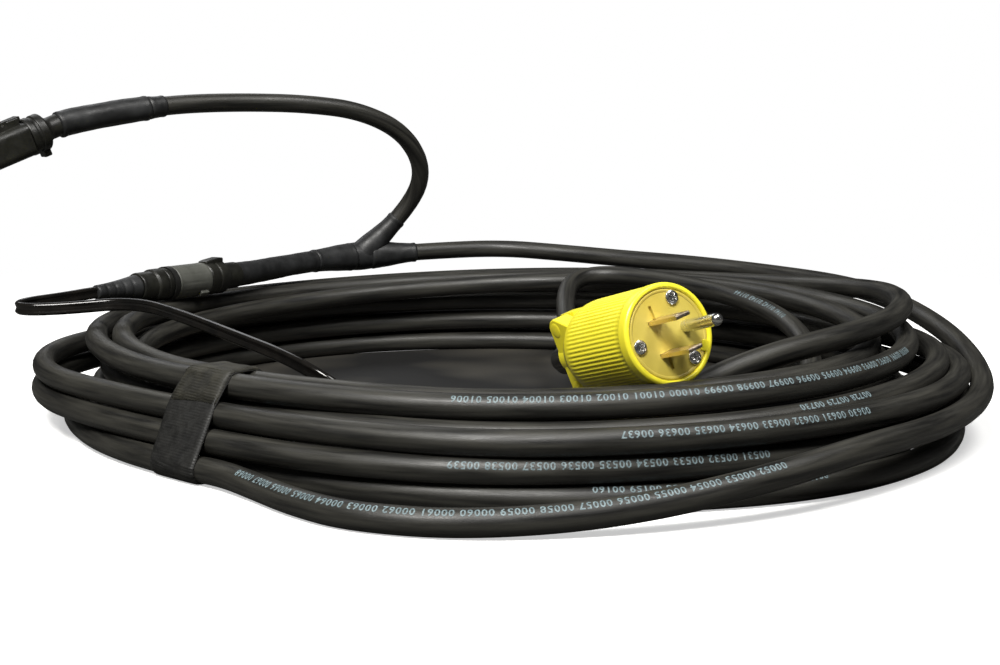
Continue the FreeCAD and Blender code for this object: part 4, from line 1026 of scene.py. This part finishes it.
def makeFloor():
    # near the cord the camera sees a pale surface with the cord's shadow; further off it fades to white, and
    # other rays meet a dim plain surface, so that little light comes back up
    half = floorFacts["size"] / 2
    corners = np.array([(-half, -half, 0), (half, -half, 0), (half, half, 0), (-half, half, 0)])
    floor = makeObject("floor", corners, [[0, 1, 2, 3]], smooth=False)
    material, nodes, links, shader = newMaterial("paleFloor", floorFacts["colour"], floorFacts["roughness"])
    glow = nodes.new("ShaderNodeEmission")
    glow.inputs["Strength"].default_value = floorFacts["glow"]
    both = nodes.new("ShaderNodeAddShader")
    links.new(shader.outputs[0], both.inputs[0])
    links.new(glow.outputs[0], both.inputs[1])
    clear = nodes.new("ShaderNodeEmission")
    clear.inputs["Strength"].default_value = 1.0
    geometry = nodes.new("ShaderNodeNewGeometry")
    away = nodes.new("ShaderNodeVectorMath")
    away.operation = "LENGTH"
    links.new(geometry.outputs["Position"], away.inputs[0])
    fade = nodes.new("ShaderNodeMapRange")
    fade.interpolation_type = "SMOOTHSTEP"
    fade.inputs["From Min"].default_value = floorFacts["clearFrom"]
    fade.inputs["From Max"].default_value = floorFacts["clearTo"]
    links.new(away.outputs["Value"], fade.inputs["Value"])
    seen = nodes.new("ShaderNodeMixShader")
    links.new(fade.outputs[0], seen.inputs["Fac"])
    links.new(both.outputs[0], seen.inputs[1])
    links.new(clear.outputs[0], seen.inputs[2])
    bounce = nodes.new("ShaderNodeBsdfDiffuse")
    bounce.inputs["Color"].default_value = (*floorFacts["bounce"], 1)
    rays = nodes.new("ShaderNodeLightPath")
    whole = nodes.new("ShaderNodeMixShader")
    links.new(rays.outputs["Is Camera Ray"], whole.inputs["Fac"])
    links.new(bounce.outputs[0], whole.inputs[1])
    links.new(seen.outputs[0], whole.inputs[2])
    links.new(whole.outputs[0], nodes["Material Output"].inputs["Surface"])
    floor.data.materials.append(material)


groundFacts = dict(radius=0.189, height=0.0002, rings=24, columns=96, dark=(0.006, 0.006, 0.006),
                   pale=(0.085, 0.078, 0.062), roughness=0.6, patches=7.0, darkTo=0.46, paleFrom=0.72)


def makeGround():
    # the dark surface that shows inside the ring in the photograph, with paler patches and a wavy edge
    rings = np.linspace(0.0003, 1, groundFacts["rings"])[:, None]
    angle = np.arange(groundFacts["columns"])[None, :] / groundFacts["columns"] * 2 * math.pi
    radius = rings * groundFacts["radius"] * (1 + 0.01 * np.sin(3 * angle) + 0.01 * np.sin(5 * angle + 1))
    grid = np.stack([radius * np.cos(angle), radius * np.sin(angle), 0 * radius + groundFacts["height"]], -1)
    ground = gridPiece("darkGround", grid[::-1] + coilCentre, caps=False)
    material, nodes, links, shader = newMaterial("darkGround", groundFacts["dark"], groundFacts["roughness"])
    fac = addNoise(nodes, links, groundFacts["patches"], 2.0)
    stops = [(groundFacts["darkTo"], groundFacts["dark"]), (groundFacts["paleFrom"], groundFacts["pale"])]
    links.new(addRamp(nodes, links, fac, stops), shader.inputs["Base Color"])
    ground.data.materials.append(material)


worldFacts = dict(seen=1.0, mirrored=0.04, lit=0.12)


def makeWorld():
    # one brightness for light and shade, another for mirrored rays, and white where the camera sees it
    world = bpy.data.worlds.new("studio")
    bpy.context.scene.world = world
    world.use_nodes = True
    nodes, links = world.node_tree.nodes, world.node_tree.links
    background = nodes["Background"]
    background.inputs["Color"].default_value = (1, 1, 1, 1)
    rays = nodes.new("ShaderNodeLightPath")
    chosen = []
    for ray, brightness in (("Is Glossy Ray", worldFacts["mirrored"]), ("Is Camera Ray", worldFacts["seen"])):
        choose = nodes.new("ShaderNodeMix")
        choose.data_type = "FLOAT"
        choose.inputs["A"].default_value = worldFacts["lit"]
        choose.inputs["B"].default_value = brightness
        links.new(rays.outputs[ray], choose.inputs["Factor"])
        chosen.append(choose)
    links.new(chosen[0].outputs["Result"], chosen[1].inputs["A"])
    links.new(chosen[1].outputs["Result"], background.inputs["Strength"])


lampFacts = dict(
    key=dict(spot=(-0.35, -0.95, 1.25), size=0.6, power=33.0, colour=(1.0, 0.985, 0.95)),
    strip=dict(spot=(0.55, -0.35, 1.25), size=0.5, power=9.0, colour=(1.0, 0.99, 0.97)),
    back=dict(spot=(-0.5, 1.0, 0.9), size=0.8, power=2.5, colour=(0.97, 0.98, 1.0)))
aimPlace = Vector((0, 0, 0.03))


def makeLamps():
    for name, facts in lampFacts.items():
        lamp = bpy.data.lights.new(name, "AREA")
        lamp.shape = "DISK"
        lamp.size = facts["size"]
        lamp.energy = facts["power"]
        lamp.color = facts["colour"]
        holder = bpy.data.objects.new(name, lamp)
        holder.location = facts["spot"]
        aim = aimPlace - Vector(facts["spot"])
        holder.rotation_euler = aim.to_track_quat("-Z", "Y").to_euler()
        bpy.context.scene.collection.objects.link(holder)


# the camera stands in front of the coil's centre, and its lens follows from the pixels that a slope of one
# spans in the picture
cameraFacts = dict(spot=(0, -0.730, 0.1385), tilt=82, slopePixels=1570, pictureWidth=1000, sensor=36.0)


def makeCamera():
    camera = bpy.data.cameras.new("camera")
    camera.sensor_width = cameraFacts["sensor"]
    camera.lens = cameraFacts["slopePixels"] * cameraFacts["sensor"] / cameraFacts["pictureWidth"]
    camera.clip_start = 0.05
    holder = bpy.data.objects.new("camera", camera)
    holder.location = coilCentre + np.array(cameraFacts["spot"])
    holder.rotation_euler = (math.radians(cameraFacts["tilt"]), 0, 0)
    bpy.context.scene.collection.objects.link(holder)
    bpy.context.scene.camera = holder


makeFloor()
makeGround()
makeWorld()
makeLamps()
makeCamera()
bpy.context.scene.view_settings.view_transform = "Standard"
print("stage, lights and camera set")
